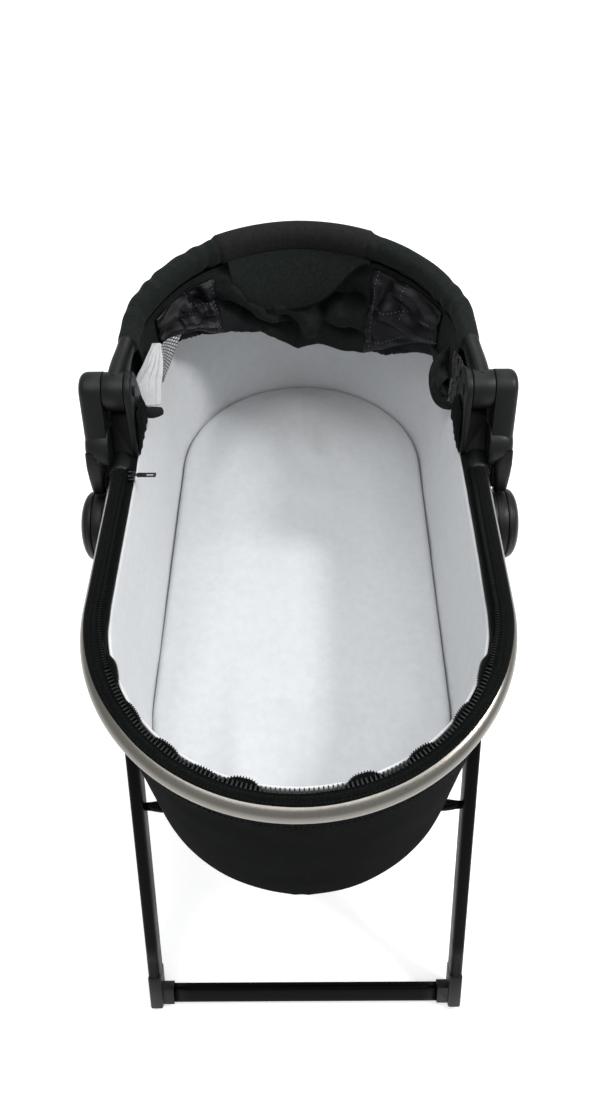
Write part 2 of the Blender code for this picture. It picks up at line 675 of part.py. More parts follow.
def make_bow():
    path = [bow_point(reach, x) for x, reach in smooth_stations(33)]
    sweep("bow_tube", path, rounded_rectangle(0.0075, 0.015, 0.003, 1), BOW_UP, ALUMINIUM)
    stations = smooth_stations(57)
    grip = [bow_point(reach, x) for x, reach in stations if abs(x) <= GRIP_HALF]
    last = len(grip) - 1

    def grip_size(i):
        ease = min(1.0, min(i, last - i) / 2.0)
        return (0.90 + 0.10 * ease, 0.90 + 0.10 * ease)

    hollow_sleeve("handle_grip", grip, (0.033, 0.034, 0.0145), grip_size)
    for tag, side in SIDES.items():
        sleeve = [bow_point(reach, x) for x, reach in stations if side * x > GRIP_HALF + 0.0018]
        count = len(sleeve) - 1

        def sleeve_size(i, inner=side, count=count):
            share = i / count if inner < 0 else 1 - i / count
            return (0.74 + 0.26 * min(1.0, share * 2.5), 0.86 + 0.14 * min(1.0, share * 2.5))

        hollow_sleeve(f"bow_sleeve_{tag}", sleeve, (0.027, 0.029, 0.0125), sleeve_size)


def hollow_sleeve(name, path, section, size):
    """Padded sleeve round the bow, open at both ends."""
    width, height, radius = section
    outer = rounded_rectangle(width, height, radius, 3)
    sleeve = sweep(name, path, outer, BOW_UP, BLACK_FABRIC, size=size)
    ahead = (path[1] - path[0]) * 0.6
    behind = (path[-1] - path[-2]) * 0.6
    core_path = [path[0] - ahead] + path + [path[-1] + behind]
    core = sweep(f"{name}_core", core_path, rounded_rectangle(0.0085, 0.016, 0.003, 1), BOW_UP)
    boolean(sleeve, core, "DIFFERENCE")


def sheet(name, columns, thickness, look):
    """Thick curved sheet from columns of points."""
    bm = bmesh.new()
    grid = [[bm.verts.new(point) for point in column] for column in columns]
    for first, second in zip(grid, grid[1:]):
        for i in range(len(first) - 1):
            bm.faces.new((first[i], first[i + 1], second[i + 1], second[i]))
    obj = finish(name, bm, look)
    modifier = obj.modifiers.new("wall", "SOLIDIFY")
    modifier.thickness = thickness
    modifier.offset = 0.0
    return obj


def bow_frame(samples, i):
    """Bow point and its outward direction, both in the bow's plane."""
    x, reach = samples[i]
    before = samples[max(i - 1, 0)]
    after = samples[min(i + 1, len(samples) - 1)]
    run = (after[0] - before[0], after[1] - before[1])
    length = math.hypot(*run)
    outward = bow_point(run[0] / length, -run[1] / length) - bow_point(0, 0)
    return bow_point(reach, x), outward


def rim_point(share, inset, z):
    """Point over the rim's head end, share 0 at the left drum and 1 at the right."""
    radius = RIM_HALF_WIDTH - inset
    corner_y = RIM_CENTRE_Y + RIM_HALF_LENGTH - RIM_HALF_WIDTH
    straight = corner_y - COLLAR_HEAD_Y
    total = 2 * straight + math.pi * radius
    run = share * total
    if run < straight:
        return Vector((-radius, COLLAR_HEAD_Y + run, z))
    if run > total - straight:
        return Vector((radius, COLLAR_HEAD_Y + total - run, z))
    turn = (run - straight) / radius
    return Vector((-radius * math.cos(turn), corner_y + radius * math.sin(turn), z))


def make_canopy_fabric():
    samples = smooth_stations(31)
    count = len(samples)
    back, lining = [], []
    for i in range(1, count - 1):
        share = i / (count - 1)
        top, outward = bow_frame(samples, i)
        up = Vector(BOW_UP)
        arch = math.sin(math.pi * share)
        hang = top + outward * 0.004 - up * 0.0178
        seat = rim_point(share, 0.0, RIM_Z + 0.0165)
        bulge = hang.lerp(seat, 0.5) + Vector((0, 0.010, 0.006)) * arch + outward * 0.003
        back.append(through([hang, bulge, seat], 6))
        inner = top - outward * 0.0060 - up * 0.0190
        over = rim_point(share, 0.034, RIM_Z + 0.0225)
        seat_in = rim_point(share, 0.0205, RIM_Z + 0.0140)
        swag = min(1.0, max(0.0, (LINING_SIDE - abs(top.x)) / LINING_FADE))
        hem_z = RIM_Z + 0.020 - (RIM_Z + 0.020 - LINING_HEM_Z) * math.sin(math.pi / 2 * swag)
        hem = inner - outward * (0.006 + 0.016 * swag)
        hem.z = hem_z
        tuck = hem.lerp(over, 0.45)
        tuck.z = hem_z + 0.014
        lining.append(through([inner, hem, tuck, over, seat_in], 11))
    sheet("canopy_panel", back, 0.0024, BLACK_FABRIC)
    sheet("canopy_lining", lining, 0.0024, BLACK_FABRIC)


def make_visor_flap():
    samples = [s for s in smooth_stations(61) if abs(s[0]) < 0.090]
    columns = []
    for i in range(len(samples)):
        top, outward = bow_frame(samples, i)
        reach = math.sqrt(max(0.0, 1 - (top.x / 0.096) ** 2))
        start = top - outward * 0.0190 - Vector(BOW_UP) * 0.002
        length = 0.030 + 0.066 * reach
        columns.append([
            start - outward * (0.006 * k / 4) - Vector((0, 0, length * k / 4)) for k in range(5)
        ])
    sheet("visor_flap", columns, 0.0022, BLACK_FABRIC)


def make_canopy():
    for tag, side in SIDES.items():
        make_bow_arm(tag, side)
    make_bow()
    make_canopy_fabric()
    make_visor_flap()


make_stand()
make_carrycot()
make_canopy()
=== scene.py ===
"""Looks for the bassinet on its folding stand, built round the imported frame.

Metres, in the frame's own axes: +X right, +Y towards the head end, +Z up, floor at z = 0.
"""

import json
import math

import bmesh
import bpy
import numpy as np
from mathutils import Matrix, Vector, noise


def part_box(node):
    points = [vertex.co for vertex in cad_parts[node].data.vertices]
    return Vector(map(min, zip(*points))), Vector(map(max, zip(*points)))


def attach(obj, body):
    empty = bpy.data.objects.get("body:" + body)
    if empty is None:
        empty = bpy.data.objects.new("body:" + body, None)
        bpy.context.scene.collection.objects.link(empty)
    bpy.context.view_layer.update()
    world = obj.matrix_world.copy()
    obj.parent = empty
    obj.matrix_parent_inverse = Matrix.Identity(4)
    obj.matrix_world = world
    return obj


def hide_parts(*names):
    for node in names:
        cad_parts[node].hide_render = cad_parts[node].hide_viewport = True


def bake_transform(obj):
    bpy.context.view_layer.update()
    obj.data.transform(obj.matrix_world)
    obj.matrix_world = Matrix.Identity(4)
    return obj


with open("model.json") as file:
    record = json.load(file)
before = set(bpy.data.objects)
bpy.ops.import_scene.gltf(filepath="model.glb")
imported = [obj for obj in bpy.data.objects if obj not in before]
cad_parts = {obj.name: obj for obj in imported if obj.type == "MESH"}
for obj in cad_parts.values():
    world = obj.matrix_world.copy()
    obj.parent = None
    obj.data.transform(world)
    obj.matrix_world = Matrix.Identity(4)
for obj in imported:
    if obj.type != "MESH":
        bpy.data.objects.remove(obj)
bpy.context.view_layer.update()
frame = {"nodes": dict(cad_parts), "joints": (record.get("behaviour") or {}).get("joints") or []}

# ---------------------------------------------------------------- sizes read from the frame

JOINTS = {joint["name"]: joint for joint in frame["joints"]}
RIM_LOW, RIM_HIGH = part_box("rim_foot_tube")
HEAD_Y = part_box("rim_head_tube")[1][1]
RIM_R = round((RIM_HIGH[2] - RIM_LOW[2]) / 2, 3)
RIM_Z = (RIM_HIGH[2] + RIM_LOW[2]) / 2
HALF_WIDTH = RIM_HIGH[0] - RIM_R
HALF_LENGTH = (HEAD_Y - RIM_LOW[1]) / 2 - RIM_R
CENTRE_Y = (HEAD_Y + RIM_LOW[1]) / 2
CORNER_Y = HALF_LENGTH - HALF_WIDTH
DRUM = Vector(JOINTS["canopy_fold"]["pos_m"])
HUB = Vector(JOINTS["rear_frame_fold"]["pos_m"])
COLLAR_FOOT_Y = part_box("side_housing_l")[0][1]
COLLAR_HEAD_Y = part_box("side_housing_l")[1][1]
SHELL_LOW, SHELL_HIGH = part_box("outer_shell")
LINER_LOW, LINER_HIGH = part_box("liner")
MATTRESS_LOW, MATTRESS_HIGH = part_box("mattress")
SIDES = {"l": -1, "r": 1}

# The stand, from a hub down along a leg: the centre line's offset, the leg's ends and the two bars
LEG_LEAN = math.radians(29.6)
LEG_OFFSET = 0.015
LEG_ENDS = (0.0503, 0.6858)
CROSSBAR_DOWN = 0.3925
FLOOR_BAR_DOWN = 0.7312

# The bow's centre line: (reach from its base, half width), in a plane tilted up from level
BOW_BASE = np.array([0.0, DRUM[1] - 0.0025, DRUM[2] - 0.0031])
BOW_TILT = math.radians(8.0)
BOW_STATIONS = (
    (0.0735, 0.1935), (0.104, 0.1915), (0.131, 0.1865), (0.17, 0.1668),
    (0.206, 0.1375), (0.2355, 0.0975), (0.2545, 0.05), (0.2615, 0.0),
)
BOW_ALONG = np.array([0.0, math.cos(BOW_TILT), math.sin(BOW_TILT)])
BOW_UP = np.array([0.0, -math.sin(BOW_TILT), math.cos(BOW_TILT)])
UP = np.array([0.0, 0.0, 1.0])

# The grip's two ends across X, and how far a sleeve runs on under it
GRIP_LEFT = -0.102
GRIP_RIGHT = 0.089
SLEEVE_UNDER_GRIP = 0.004

# Lowest line of the hanging lining: (x, height over the rim's centre plane)
HEM = ((-0.19, 0.02), (-0.154, 0.0166), (-0.108, 0.0), (-0.06, -0.01), (-0.045, -0.022),
       (-0.004, -0.043), (0.028, -0.036), (0.076, -0.04), (0.125, -0.03), (0.16, -0.004),
       (0.19, 0.018))

# Length of the hanging flap across the grip
FLAP_X = (-0.096, -0.092, -0.085, -0.075, -0.066, -0.033, 0.0, 0.02, 0.04, 0.06, 0.077, 0.089,
          0.096)
FLAP_LENGTH = (0.02, 0.026, 0.04, 0.056, 0.064, 0.069, 0.068, 0.063, 0.053, 0.034, 0.012, 0.004,
               0.003)

# Zip teeth: (size inward, along and up) and pitch
COARSE_TEETH = ((0.0054, 0.0022, 0.0026), 0.004)
FINE_TEETH = ((0.0036, 0.0015, 0.0042), 0.0029)
INNER_TEETH = ((0.0022, 0.0014, 0.0018), 0.0026)

# Where the loose zip tape stands out at the foot: (degrees from the foot's tip, proud, half width)
LOBES = ((-66, 0.0086, 6.0), (-51, 0.0106, 6.2), (-37, 0.0116, 6.0), (-25, 0.0096, 5.2),
         (-14, 0.0124, 5.4), (17, 0.0132, 5.6), (34, 0.0118, 5.8), (50, 0.0108, 6.0),
         (65, 0.0086, 6.2))

# The hood's vents: (tag, x at the outer and the inner edge, top as a share of the lining's drop)
VENTS = (("l", -0.181, -0.113, 0.06), ("r", 0.18, 0.097, 0.03))

# Upright seams of the liner: (x, y)
LINER_SEAMS = ((-0.105, 0.36), (0.128, 0.33), (-0.14, -0.3), (0.15, -0.29))

# A side casing: x of its inner and outer faces, its edge's radius, and how far its shoulder and the
# foot of its post lie over the hub
CASING_INNER = 0.21
CASING_OUTER = 0.235
CASING_ROUND = 0.0085
SHOULDER_UP = 0.0985
POST_FOOT_UP = 0.059

# One period of a wave texture at scale 1, in metres
WAVE_PERIOD = 0.314

# Points closer than these are one: in a made mesh, and in a CAD node's
MERGE = 1e-6
WELD = 0.00002

# The camera: place, (yaw, pitch, roll) in degrees and focal length in millimetres
CAMERA_PLACE = (0.0115, -0.6376, 1.369)
CAMERA_TURNS = (-0.24, 50.98, -0.58)
CAMERA_LENS = 26.69

# Lamps: (name, place, aim, size, watts). The key's place makes the soft edge down the mattress
LAMPS = (
    ("key", (1.5, -0.15, 2.3), (0.0, 0.0, 0.6), 0.38, 25.0),
    ("sky", (-0.1, -0.25, 2.9), (0.0, 0.0, 0.6), 2.2, 31.0),
    ("back", (0.3, 1.7, 2.5), (0.0, 0.2, 0.6), 1.5, 10.0),
)

# The floor lies just under the feet
FLOOR_Z = -0.0005


# ---------------------------------------------------------------- materials

def feed(tree, made, **inputs):
    """Set a node's inputs, named with _ for a space, to values or to other nodes' outputs."""
    for name, value in inputs.items():
        socket = made.inputs[name.replace("_", " ")]
        if isinstance(value, bpy.types.NodeSocket):
            tree.links.new(value, socket)
        else:
            socket.default_value = value
    return made


def node(tree, kind, **inputs):
    return feed(tree, tree.nodes.new(kind), **inputs)


def maths(tree, operation, *values):
    made = tree.nodes.new("ShaderNodeMath")
    made.operation = operation
    for socket, value in zip(made.inputs, values):
        if isinstance(value, float):
            socket.default_value = value
        else:
            tree.links.new(value, socket)
    return made.outputs[0]


def opaque(colour):
    return (*colour, 1.0)


def grey(level):
    return (level, level, level, 1.0)


def new_material(name, colour, roughness, metallic=0.0):
    mat = bpy.data.materials.new(name)
    mat.use_nodes = True
    shader = mat.node_tree.nodes["Principled BSDF"]
    feed(mat.node_tree, shader, Base_Color=opaque(colour), Roughness=roughness, Metallic=metallic)
    return mat, mat.node_tree, shader


def noise_value(tree, scale, detail=3.0, stretch=(1.0, 1.0, 1.0), rough=0.5):
    own = node(tree, "ShaderNodeTexCoord").outputs["Object"]
    vector = node(tree, "ShaderNodeMapping", Vector=own, Scale=stretch).outputs["Vector"]
    texture = node(tree, "ShaderNodeTexNoise", Vector=vector, Scale=scale, Detail=detail,
                   Roughness=rough)
    return texture.outputs["Fac"]


def ramp(tree, value, low, high, first, second):
    """Colour or grey between two levels of a value."""
    made = node(tree, "ShaderNodeValToRGB", Fac=value)
    ends = made.color_ramp.elements
    ends[0].position, ends[1].position = low, high
    ends[0].color, ends[1].color = first, second
    return made.outputs["Color"]


def add_bump(tree, shader, height, strength, distance, **after):
    bump = node(tree, "ShaderNodeBump", Strength=strength, Distance=distance, Height=height,
                **after)
    feed(tree, shader, Normal=bump.outputs["Normal"])
    return bump.outputs["Normal"]


def weave_coordinates(tree):
    """The cloth's own flat coordinates in metres."""
    own = tree.nodes.new("ShaderNodeUVMap")
    own.uv_map = "weave"
    return own.outputs["UV"]


def threads(tree, vector, period, distortion, direction="X"):
    """Parallel bands, a period apart."""
    wave = node(tree, "ShaderNodeTexWave", Vector=vector, Scale=WAVE_PERIOD / period,
                Distortion=distortion, Detail=1.0)
    wave.bands_direction = direction
    return wave.outputs["Fac"]


def fabric(name, dark, light, period, roughness=0.92, sheen=0.1, fuzz=0.35, mottle=260.0,
           specular=0.2):
    """Woven cloth: crossed threads, melange colour, fuzz and a soft sheen."""
    mat, tree, shader = new_material(name, light, roughness)
    flecks = noise_value(tree, mottle, 4.0, rough=0.7)
    melange = maths(tree, "MULTIPLY_ADD", noise_value(tree, 9.0), 0.35, flecks)
    weave = maths(tree, "MULTIPLY", *(threads(tree, weave_coordinates(tree), period, 0.4, d)
                                      for d in "XY"))
    first = add_bump(tree, shader, weave, 0.45, period * 0.3)
    add_bump(tree, shader, noise_value(tree, 700.0, 2.0), fuzz, 0.0003, Normal=first)
    feed(tree, shader, Base_Color=ramp(tree, melange, 0.5, 0.85, opaque(dark), opaque(light)),
         Sheen_Weight=sheen, Sheen_Roughness=0.5, Specular_IOR_Level=specular)
    return mat


def moulded(name, colour, roughness, grain=0.25, scale=1400.0, specular=0.35):
    """Moulded plastic or paint: fine grain, patchy roughness and light scuffs."""
    mat, tree, shader = new_material(name, colour, roughness)
    patches = noise_value(tree, 22.0, 5.0, rough=0.65)
    rough = ramp(tree, patches, 0.3, 0.7, grey(roughness - 0.07), grey(roughness + 0.09))
    lighter = opaque(c * 1.35 for c in colour)
    tone = ramp(tree, noise_value(tree, 60.0, 4.0), 0.3, 0.8, opaque(colour), lighter)
    add_bump(tree, shader, noise_value(tree, scale, 2.0), grain, 0.0003)
    feed(tree, shader, Base_Color=tone, Roughness=rough, Specular_IOR_Level=specular)
    return mat


def metal(name, colour, roughness, stretch=(1.0, 1.0, 1.0)):
    """Drawn or brushed metal with faint streaks, drawn out by a stretch."""
    mat, tree, shader = new_material(name, colour, roughness, 1.0)
    streaks = noise_value(tree, 240.0, 3.0, stretch, 0.6)
    rough = ramp(tree, streaks, 0.25, 0.75, grey(roughness - 0.06), grey(roughness + 0.1))
    darker = opaque(c * 0.86 for c in colour)
    tone = ramp(tree, noise_value(tree, 9.0, 4.0), 0.3, 0.7, darker, opaque(colour))
    add_bump(tree, shader, streaks, 0.15, 0.0002)
    feed(tree, shader, Base_Color=tone, Roughness=rough)
    return mat


def netting(name, thread, gap, period):
    """Open net: fine dark threads on two slants over pale cloth."""
    mat, tree, shader = new_material(name, gap, 0.8)
    waves = []
    for lean in (0.5, -1.1):
        slant = node(tree, "ShaderNodeMapping", Vector=weave_coordinates(tree),
                     Rotation=(0.0, 0.0, lean))
        waves.append(threads(tree, slant.outputs["Vector"], period, 0.3))
    net = maths(tree, "MAXIMUM", *waves)
    add_bump(tree, shader, net, 0.5, 0.0004)
    feed(tree, shader, Base_Color=ramp(tree, net, 0.6, 0.8, opaque(gap), opaque(thread)))
    return mat


def floor_look():
    mat, tree, shader = new_material("pale_floor", (0.93, 0.93, 0.93), 0.9)
    feed(tree, shader, Emission_Color=grey(1.0), Emission_Strength=0.45)
    return mat


MATERIALS = {
    "shell": fabric("shell_cloth", (0.0008, 0.0011, 0.0011), (0.0028, 0.0034, 0.0034), 0.0013,
                    sheen=0.0, specular=0.03),
    "canopy": fabric("canopy_cloth", (0.006, 0.008, 0.0075), (0.012, 0.015, 0.0142), 0.0011,
                     sheen=0.03, specular=0.1),
    "grip": fabric("grip_cloth", (0.008, 0.008, 0.0084), (0.015, 0.015, 0.0157), 0.0016, sheen=0.03,
                   specular=0.12),
    "tape": fabric("zip_tape_cloth", (0.0014, 0.0018, 0.0018), (0.0046, 0.0052, 0.0052), 0.001,
                   sheen=0.02, specular=0.06),
    "mesh": fabric("vent_mesh", (0.0014, 0.0013, 0.002), (0.0056, 0.0051, 0.0076), 0.0022, 0.34,
                   0.01, 0.5, specular=0.22),
    "film": fabric("crinkled_film", (0.001, 0.0011, 0.0012), (0.003, 0.0032, 0.0035), 0.0016, 0.18,
                   0.0, 0.5, specular=0.55),
    "liner": fabric("liner_cloth", (0.68, 0.69, 0.7), (0.73, 0.742, 0.755), 0.001, 0.9, 0.1, 0.15,
                    90.0),
    "mattress": fabric("mattress_cloth", (0.585, 0.598, 0.61), (0.63, 0.645, 0.658), 0.001, 0.85,
                       0.1, 0.15, 90.0, 0.3),
    # White cloth of the bundle, made darker than the liner's white: painted shade under the bunched
    # hood
    "white": fabric("bundle_cloth_painted_shade", (0.43, 0.436, 0.446), (0.52, 0.526, 0.538), 0.001, 0.85, 0.1,
                    0.15, 90.0),
    "net": netting("insect_net", (0.02, 0.02, 0.024), (0.46, 0.47, 0.48), 0.0034),
    "paint": moulded("satin_black_paint", (0.0008, 0.0008, 0.001), 0.36, 0.1, specular=0.05),
    "plastic": moulded("black_plastic", (0.0034, 0.0038, 0.0041), 0.42, 0.3, specular=0.26),
    "gloss": moulded("zip_plastic", (0.0034, 0.0037, 0.0041), 0.38, 0.1, specular=0.28),
    "rubber": moulded("black_rubber", (0.015, 0.015, 0.015), 0.82, 0.5, 700.0),
    "aluminium": metal("satin_aluminium", (0.25, 0.236, 0.212), 0.3, (1.0, 1.0, 14.0)),
    "steel": metal("polished_steel", (0.55, 0.55, 0.56), 0.24),
    "nickel": metal("dark_nickel", (0.05, 0.05, 0.054), 0.26),
    "thread": moulded("grey_thread", (0.2, 0.21, 0.23), 0.6, 0.3),
    "thread_dark": moulded("dark_thread", (0.009, 0.01, 0.011), 0.6, 0.3, specular=0.1),
    "board": fabric("board_cover", (0.52, 0.49, 0.44), (0.6, 0.57, 0.52), 0.0015),
    "floor": floor_look(),
}


# ---------------------------------------------------------------- mesh tools

def linked(name, data):
    obj = bpy.data.objects.new(name, data)
    bpy.context.scene.collection.objects.link(obj)
    return obj


def shade(mesh, smooth=True):
    mesh.polygons.foreach_set("use_smooth", [smooth] * len(mesh.polygons))


def place(piece, body, slot, *nodes):
    """Let a piece ride on a body and stand for CAD nodes; the slot is not used."""
    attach(piece, body)
    if nodes:
        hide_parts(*nodes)


def turn_with_hood(piece):
    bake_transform(piece)


def turns(steps):
    """Angles round a whole circle."""
    return np.linspace(0, 2 * math.pi, steps, endpoint=False)


def bell(value, width):
    return np.exp(-(value / width) ** 2)


def lengths_of(path):
    """Length along a path at each of its points."""
    return np.concatenate([[0.0], np.cumsum(np.linalg.norm(np.diff(path, axis=0), axis=1))])


def make_object(name, verts, faces, material, smooth=True, uvs=None):
    """A mesh object with doubled points merged and its faces turned outward."""
    mesh = bpy.data.meshes.new(name)
    mesh.from_pydata([tuple(v) for v in verts], [], faces)
    if uvs is not None:
        layer = mesh.uv_layers.new(name="weave")
        layer.data.foreach_set("uv", np.asarray(uvs, np.float32).ravel())
    bm = bmesh.new()
    bm.from_mesh(mesh)
    bmesh.ops.remove_doubles(bm, verts=bm.verts[:], dist=MERGE)
    bmesh.ops.recalc_face_normals(bm, faces=bm.faces[:])
    bm.to_mesh(mesh)
    bm.free()
    shade(mesh, smooth)
    mesh.materials.append(MATERIALS[material])
    return linked(name, mesh)


def grid_faces(rows, columns, closed_rows, closed_columns):
    faces = []
    for i in range(rows if closed_rows else rows - 1):
        for j in range(columns if closed_columns else columns - 1):
            a, b = (i + 1) % rows, (j + 1) % columns
            faces.append((i * columns + j, i * columns + b, a * columns + b, a * columns + j))
    return faces


def run_lengths(points, axis):
    """Mean running length of a grid of points along one axis."""
    steps = np.linalg.norm(np.diff(points, axis=axis), axis=-1)
    mean = steps.mean(axis=1 - axis)
    return np.concatenate([[0.0], np.cumsum(mean)])


def skin(name, rings, material, closed=False, caps=True, ring_closed=True):
    """Surface over rings of points, with its flat lengths as coordinates for the weave."""
    rings = np.asarray(rings, float)
    rows, columns = rings.shape[:2]
    verts = rings.reshape(-1, 3).tolist()
    faces = grid_faces(rows, columns, closed, ring_closed)
    across, along = run_lengths(rings, 0), run_lengths(rings, 1)
    across = np.append(across, 2 * across[-1] - across[-2])
    along = np.append(along, 2 * along[-1] - along[-2])
    uvs = []
    for i in range(rows if closed else rows - 1):
        for j in range(columns if ring_closed else columns - 1):
            uvs += [(along[j], across[i]), (along[j + 1], across[i]),
                    (along[j + 1], across[i + 1]), (along[j], across[i + 1])]
    if caps and not closed and ring_closed:
        faces.append(tuple(range(columns)))
        faces.append(tuple((rows - 1) * columns + j for j in range(columns)))
        uvs += [tuple(point[:2]) for row in (0, rows - 1) for point in rings[row]]
    return make_object(name, verts, faces, material, uvs=uvs)


def wall(obj, thickness, offset):
    """Give a sheet its thickness: -1 inward, 0 to both sides, 1 outward."""
    modifier = obj.modifiers.new("wall", "SOLIDIFY")
    modifier.thickness = thickness
    modifier.offset = offset
    modifier.use_even_offset = False


def through(knots, count):
    """Even samples of a Catmull-Rom curve; each knot may be an array of points."""
    knots = [np.asarray(k, float) for k in knots]
    fine = []
    for i in range(len(knots) - 1):
        p0, p1 = knots[max(i - 1, 0)], knots[i]
        p2, p3 = knots[i + 1], knots[min(i + 2, len(knots) - 1)]
        for k in range(12):
            t = k / 12
            fine.append(0.5 * (2 * p1 + (p2 - p0) * t + (2 * p0 - 5 * p1 + 4 * p2 - p3) * t * t
                               + (3 * p1 - p0 - 3 * p2 + p3) * t ** 3))
    fine.append(knots[-1])
    fine = np.array(fine)
    steps = np.linalg.norm(np.diff(fine, axis=0), axis=-1)
    lengths = np.concatenate([np.zeros_like(steps[:1]), np.cumsum(steps, axis=0)])
    if fine.ndim == 2:
        want = np.linspace(0, lengths[-1], count)
        return np.stack([np.interp(want, lengths, fine[:, c]) for c in range(fine.shape[1])], -1)
    out = np.empty((count, *fine.shape[1:]))
    for j in range(fine.shape[1]):
        want = np.linspace(0, lengths[-1, j], count)
        for c in range(fine.shape[2]):
            out[:, j, c] = np.interp(want, lengths[:, j], fine[:, j, c])
    return out


def stadium(inset, z, steps=60, sides=24):
    """Closed loop parallel to the rim's centre line, evenly spaced."""
    radius = HALF_WIDTH - inset
    points = []
    for end in (-1, 1):
        for k in range(steps):
            turn = math.pi * (k / steps) + (math.pi if end < 0 else 0.0)
            points.append((radius * math.cos(turn), end * CORNER_Y + radius * math.sin(turn), z))
        x = radius if end < 0 else -radius
        for k in range(sides):
            y = (-CORNER_Y + 2 * CORNER_Y * k / sides) * (1 if end < 0 else -1)
            points.append((x, y, z))
    return np.array(points) + np.array([0.0, CENTRE_Y, 0.0])


def rim_path(inset, z, end, stop_y, steps=70, sides=20):
    """Open U parallel to the rim round one end, stopping at stop_y on both sides."""
    radius = HALF_WIDTH - inset
    centre = CENTRE_Y + end * CORNER_Y
    turn = np.linspace(0, math.pi, steps)
    arc = np.stack([-radius * np.cos(turn), centre + end * radius * np.sin(turn),
                    np.full(steps, z)], -1)
    y = np.linspace(stop_y, centre, sides, endpoint=False)
    left = np.stack([np.full(sides, -radius), y, np.full(sides, z)], -1)
    right = left[::-1] * np.array([-1.0, 1.0, 1.0])
    return np.concatenate([left, arc, right])


def frames(path, up):
    """Tangent, sideways and upward directions along a path."""
    path = np.asarray(path, float)
    tangent = np.gradient(path, axis=0)
    tangent /= np.linalg.norm(tangent, axis=1, keepdims=True)
    side = np.cross(tangent, np.broadcast_to(up, path.shape))
    side /= np.linalg.norm(side, axis=1, keepdims=True)
    over = np.cross(side, tangent)
    return tangent, side, over


def sweep(name, path, section, up, material):
    """Sweep section (side, up) along the path; section may be one outline for each station."""
    path = np.asarray(path, float)
    section = np.asarray(section, float)
    if section.ndim == 2:
        section = np.broadcast_to(section, (len(path), *section.shape))
    _, side, over = frames(path, np.asarray(up, float))
    rings = path[:, None] + side[:, None] * section[..., :1] + over[:, None] * section[..., 1:]
    return skin(name, rings, material)


def superellipse(width, height, power=3.0, steps=36):
    turn = turns(steps)
    c, s = np.cos(turn), np.sin(turn)
    a = np.sign(c) * np.abs(c) ** (2 / power) * width / 2
    b = np.sign(s) * np.abs(s) ** (2 / power) * height / 2
    return np.stack([a, b], -1)


def turned(name, profile, centre, side, material, steps=96, closed=False):
    """Turn (distance along X, radius) stations about an X axis."""
    turn = turns(steps)
    rings = []
    for along, radius in profile:
        rings.append(np.stack([np.full(steps, side * along), centre[1] + radius * np.cos(turn),
                               centre[2] + radius * np.sin(turn)], -1))
    return skin(name, rings, material, closed=closed)


def ripple(points, scale, amount, seed=0.0):
    """Smooth noise from -amount to amount at each point."""
    shift = Vector((seed * 3.7, seed * 1.9, seed * 5.3))
    flat = np.asarray(points).reshape(-1, 3)
    values = [noise.noise(Vector(p) * scale + shift) for p in flat]
    return np.array(values).reshape(np.asarray(points).shape[:-1]) * amount


def normals_of(grid):
    """Normals of a grid of points."""
    across = np.gradient(grid, axis=0)
    along = np.gradient(grid, axis=1)
    n = np.cross(across, along)
    length = np.linalg.norm(n, axis=-1, keepdims=True)
    return n / np.maximum(length, 1e-9)


def smoothstep(value):
    t = np.clip(value, 0.0, 1.0)
    return t * t * (3 - 2 * t)


def stitches(name, path, material, dash=0.0032, gap=0.0018, radius=0.00045, body=None, lift=0.0):
    """A row of short threads along a path, as one mesh; without a body its transform is baked into
    its points.
    """
    path = np.asarray(path, float)
    lengths = lengths_of(path)
    ring = [(math.cos(2 * math.pi * k / 6), math.sin(2 * math.pi * k / 6)) for k in range(6)]
    shares = np.array((0.0, 0.2, 0.5, 0.8, 1.0))
    bulges = (0.15, 0.8, 1.0, 0.8, 0.15)
    verts, faces = [], []
    start = 0.0
    while start + dash < lengths[-1]:
        points = np.stack([np.interp(start + dash * shares, lengths, path[:, c]) for c in range(3)],
                          -1)
        points = points + lift
        along = points[-1] - points[0]
        along /= max(np.linalg.norm(along), 1e-9)
        side = np.cross(along, UP if abs(along[2]) < 0.9 else np.array([1.0, 0.0, 0.0]))
        side /= np.linalg.norm(side)
        over = np.cross(side, along)
        base = len(verts)
        for point, bulge in zip(points, bulges):
            for a, b in ring:
                verts.append(point + (side * a + over * b) * radius * bulge)
        for i in range(4):
            for k in range(6):
                j = (k + 1) % 6
                faces.append((base + 6 * i + k, base + 6 * i + j, base + 6 * i + 6 + j, base + 6
                              * i + 6 + k))
        faces.append(tuple(base + k for k in range(6)))
        faces.append(tuple(base + 24 + k for k in range(6)))
        start += dash + gap
    row = make_object(name, verts, faces, material)
    if body:
        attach(row, body)
    else:
        turn_with_hood(row)


def teeth(name, path, inward, size, pitch):
    """One side of a zip's chain: tapered teeth set across the path, pointing inward."""
    lengths = lengths_of(path)
    tangent, _, over = frames(path, UP)
    shape = np.array([(-.5, -.5, -.5), (.5, -.3, -.45), (.5, .3, -.45), (-.5, .5, -.5),
                      (-.5, -.42, .45), (.42, -.22, .5), (.42, .22, .5), (-.5, .42, .45)])
    quads = [(0, 3, 2, 1), (4, 5, 6, 7), (0, 1, 5, 4), (1, 2, 6, 5), (2, 3, 7, 6), (3, 0, 4, 7)]
    verts, faces = [], []
    count = int(lengths[-1] / pitch)
    for i in range(count):
        at = (i + 0.5) * pitch
        point, t, s, o = (np.array([np.interp(at, lengths, v[:, c]) for c in range(3)])
                          for v in (path, tangent, inward, over))
        base = len(verts)
        for a, b, c in shape:
            verts.append(point + s * (a * size[0]) + t * b * size[1] + o * (c * size[2]))
        faces += [tuple(base + k for k in quad) for quad in quads]
    row = make_object(name, verts, faces, "gloss", smooth=False)
    place(row, "carrycot", "black_plastic")


# ---------------------------------------------------------------- CAD nodes that stay

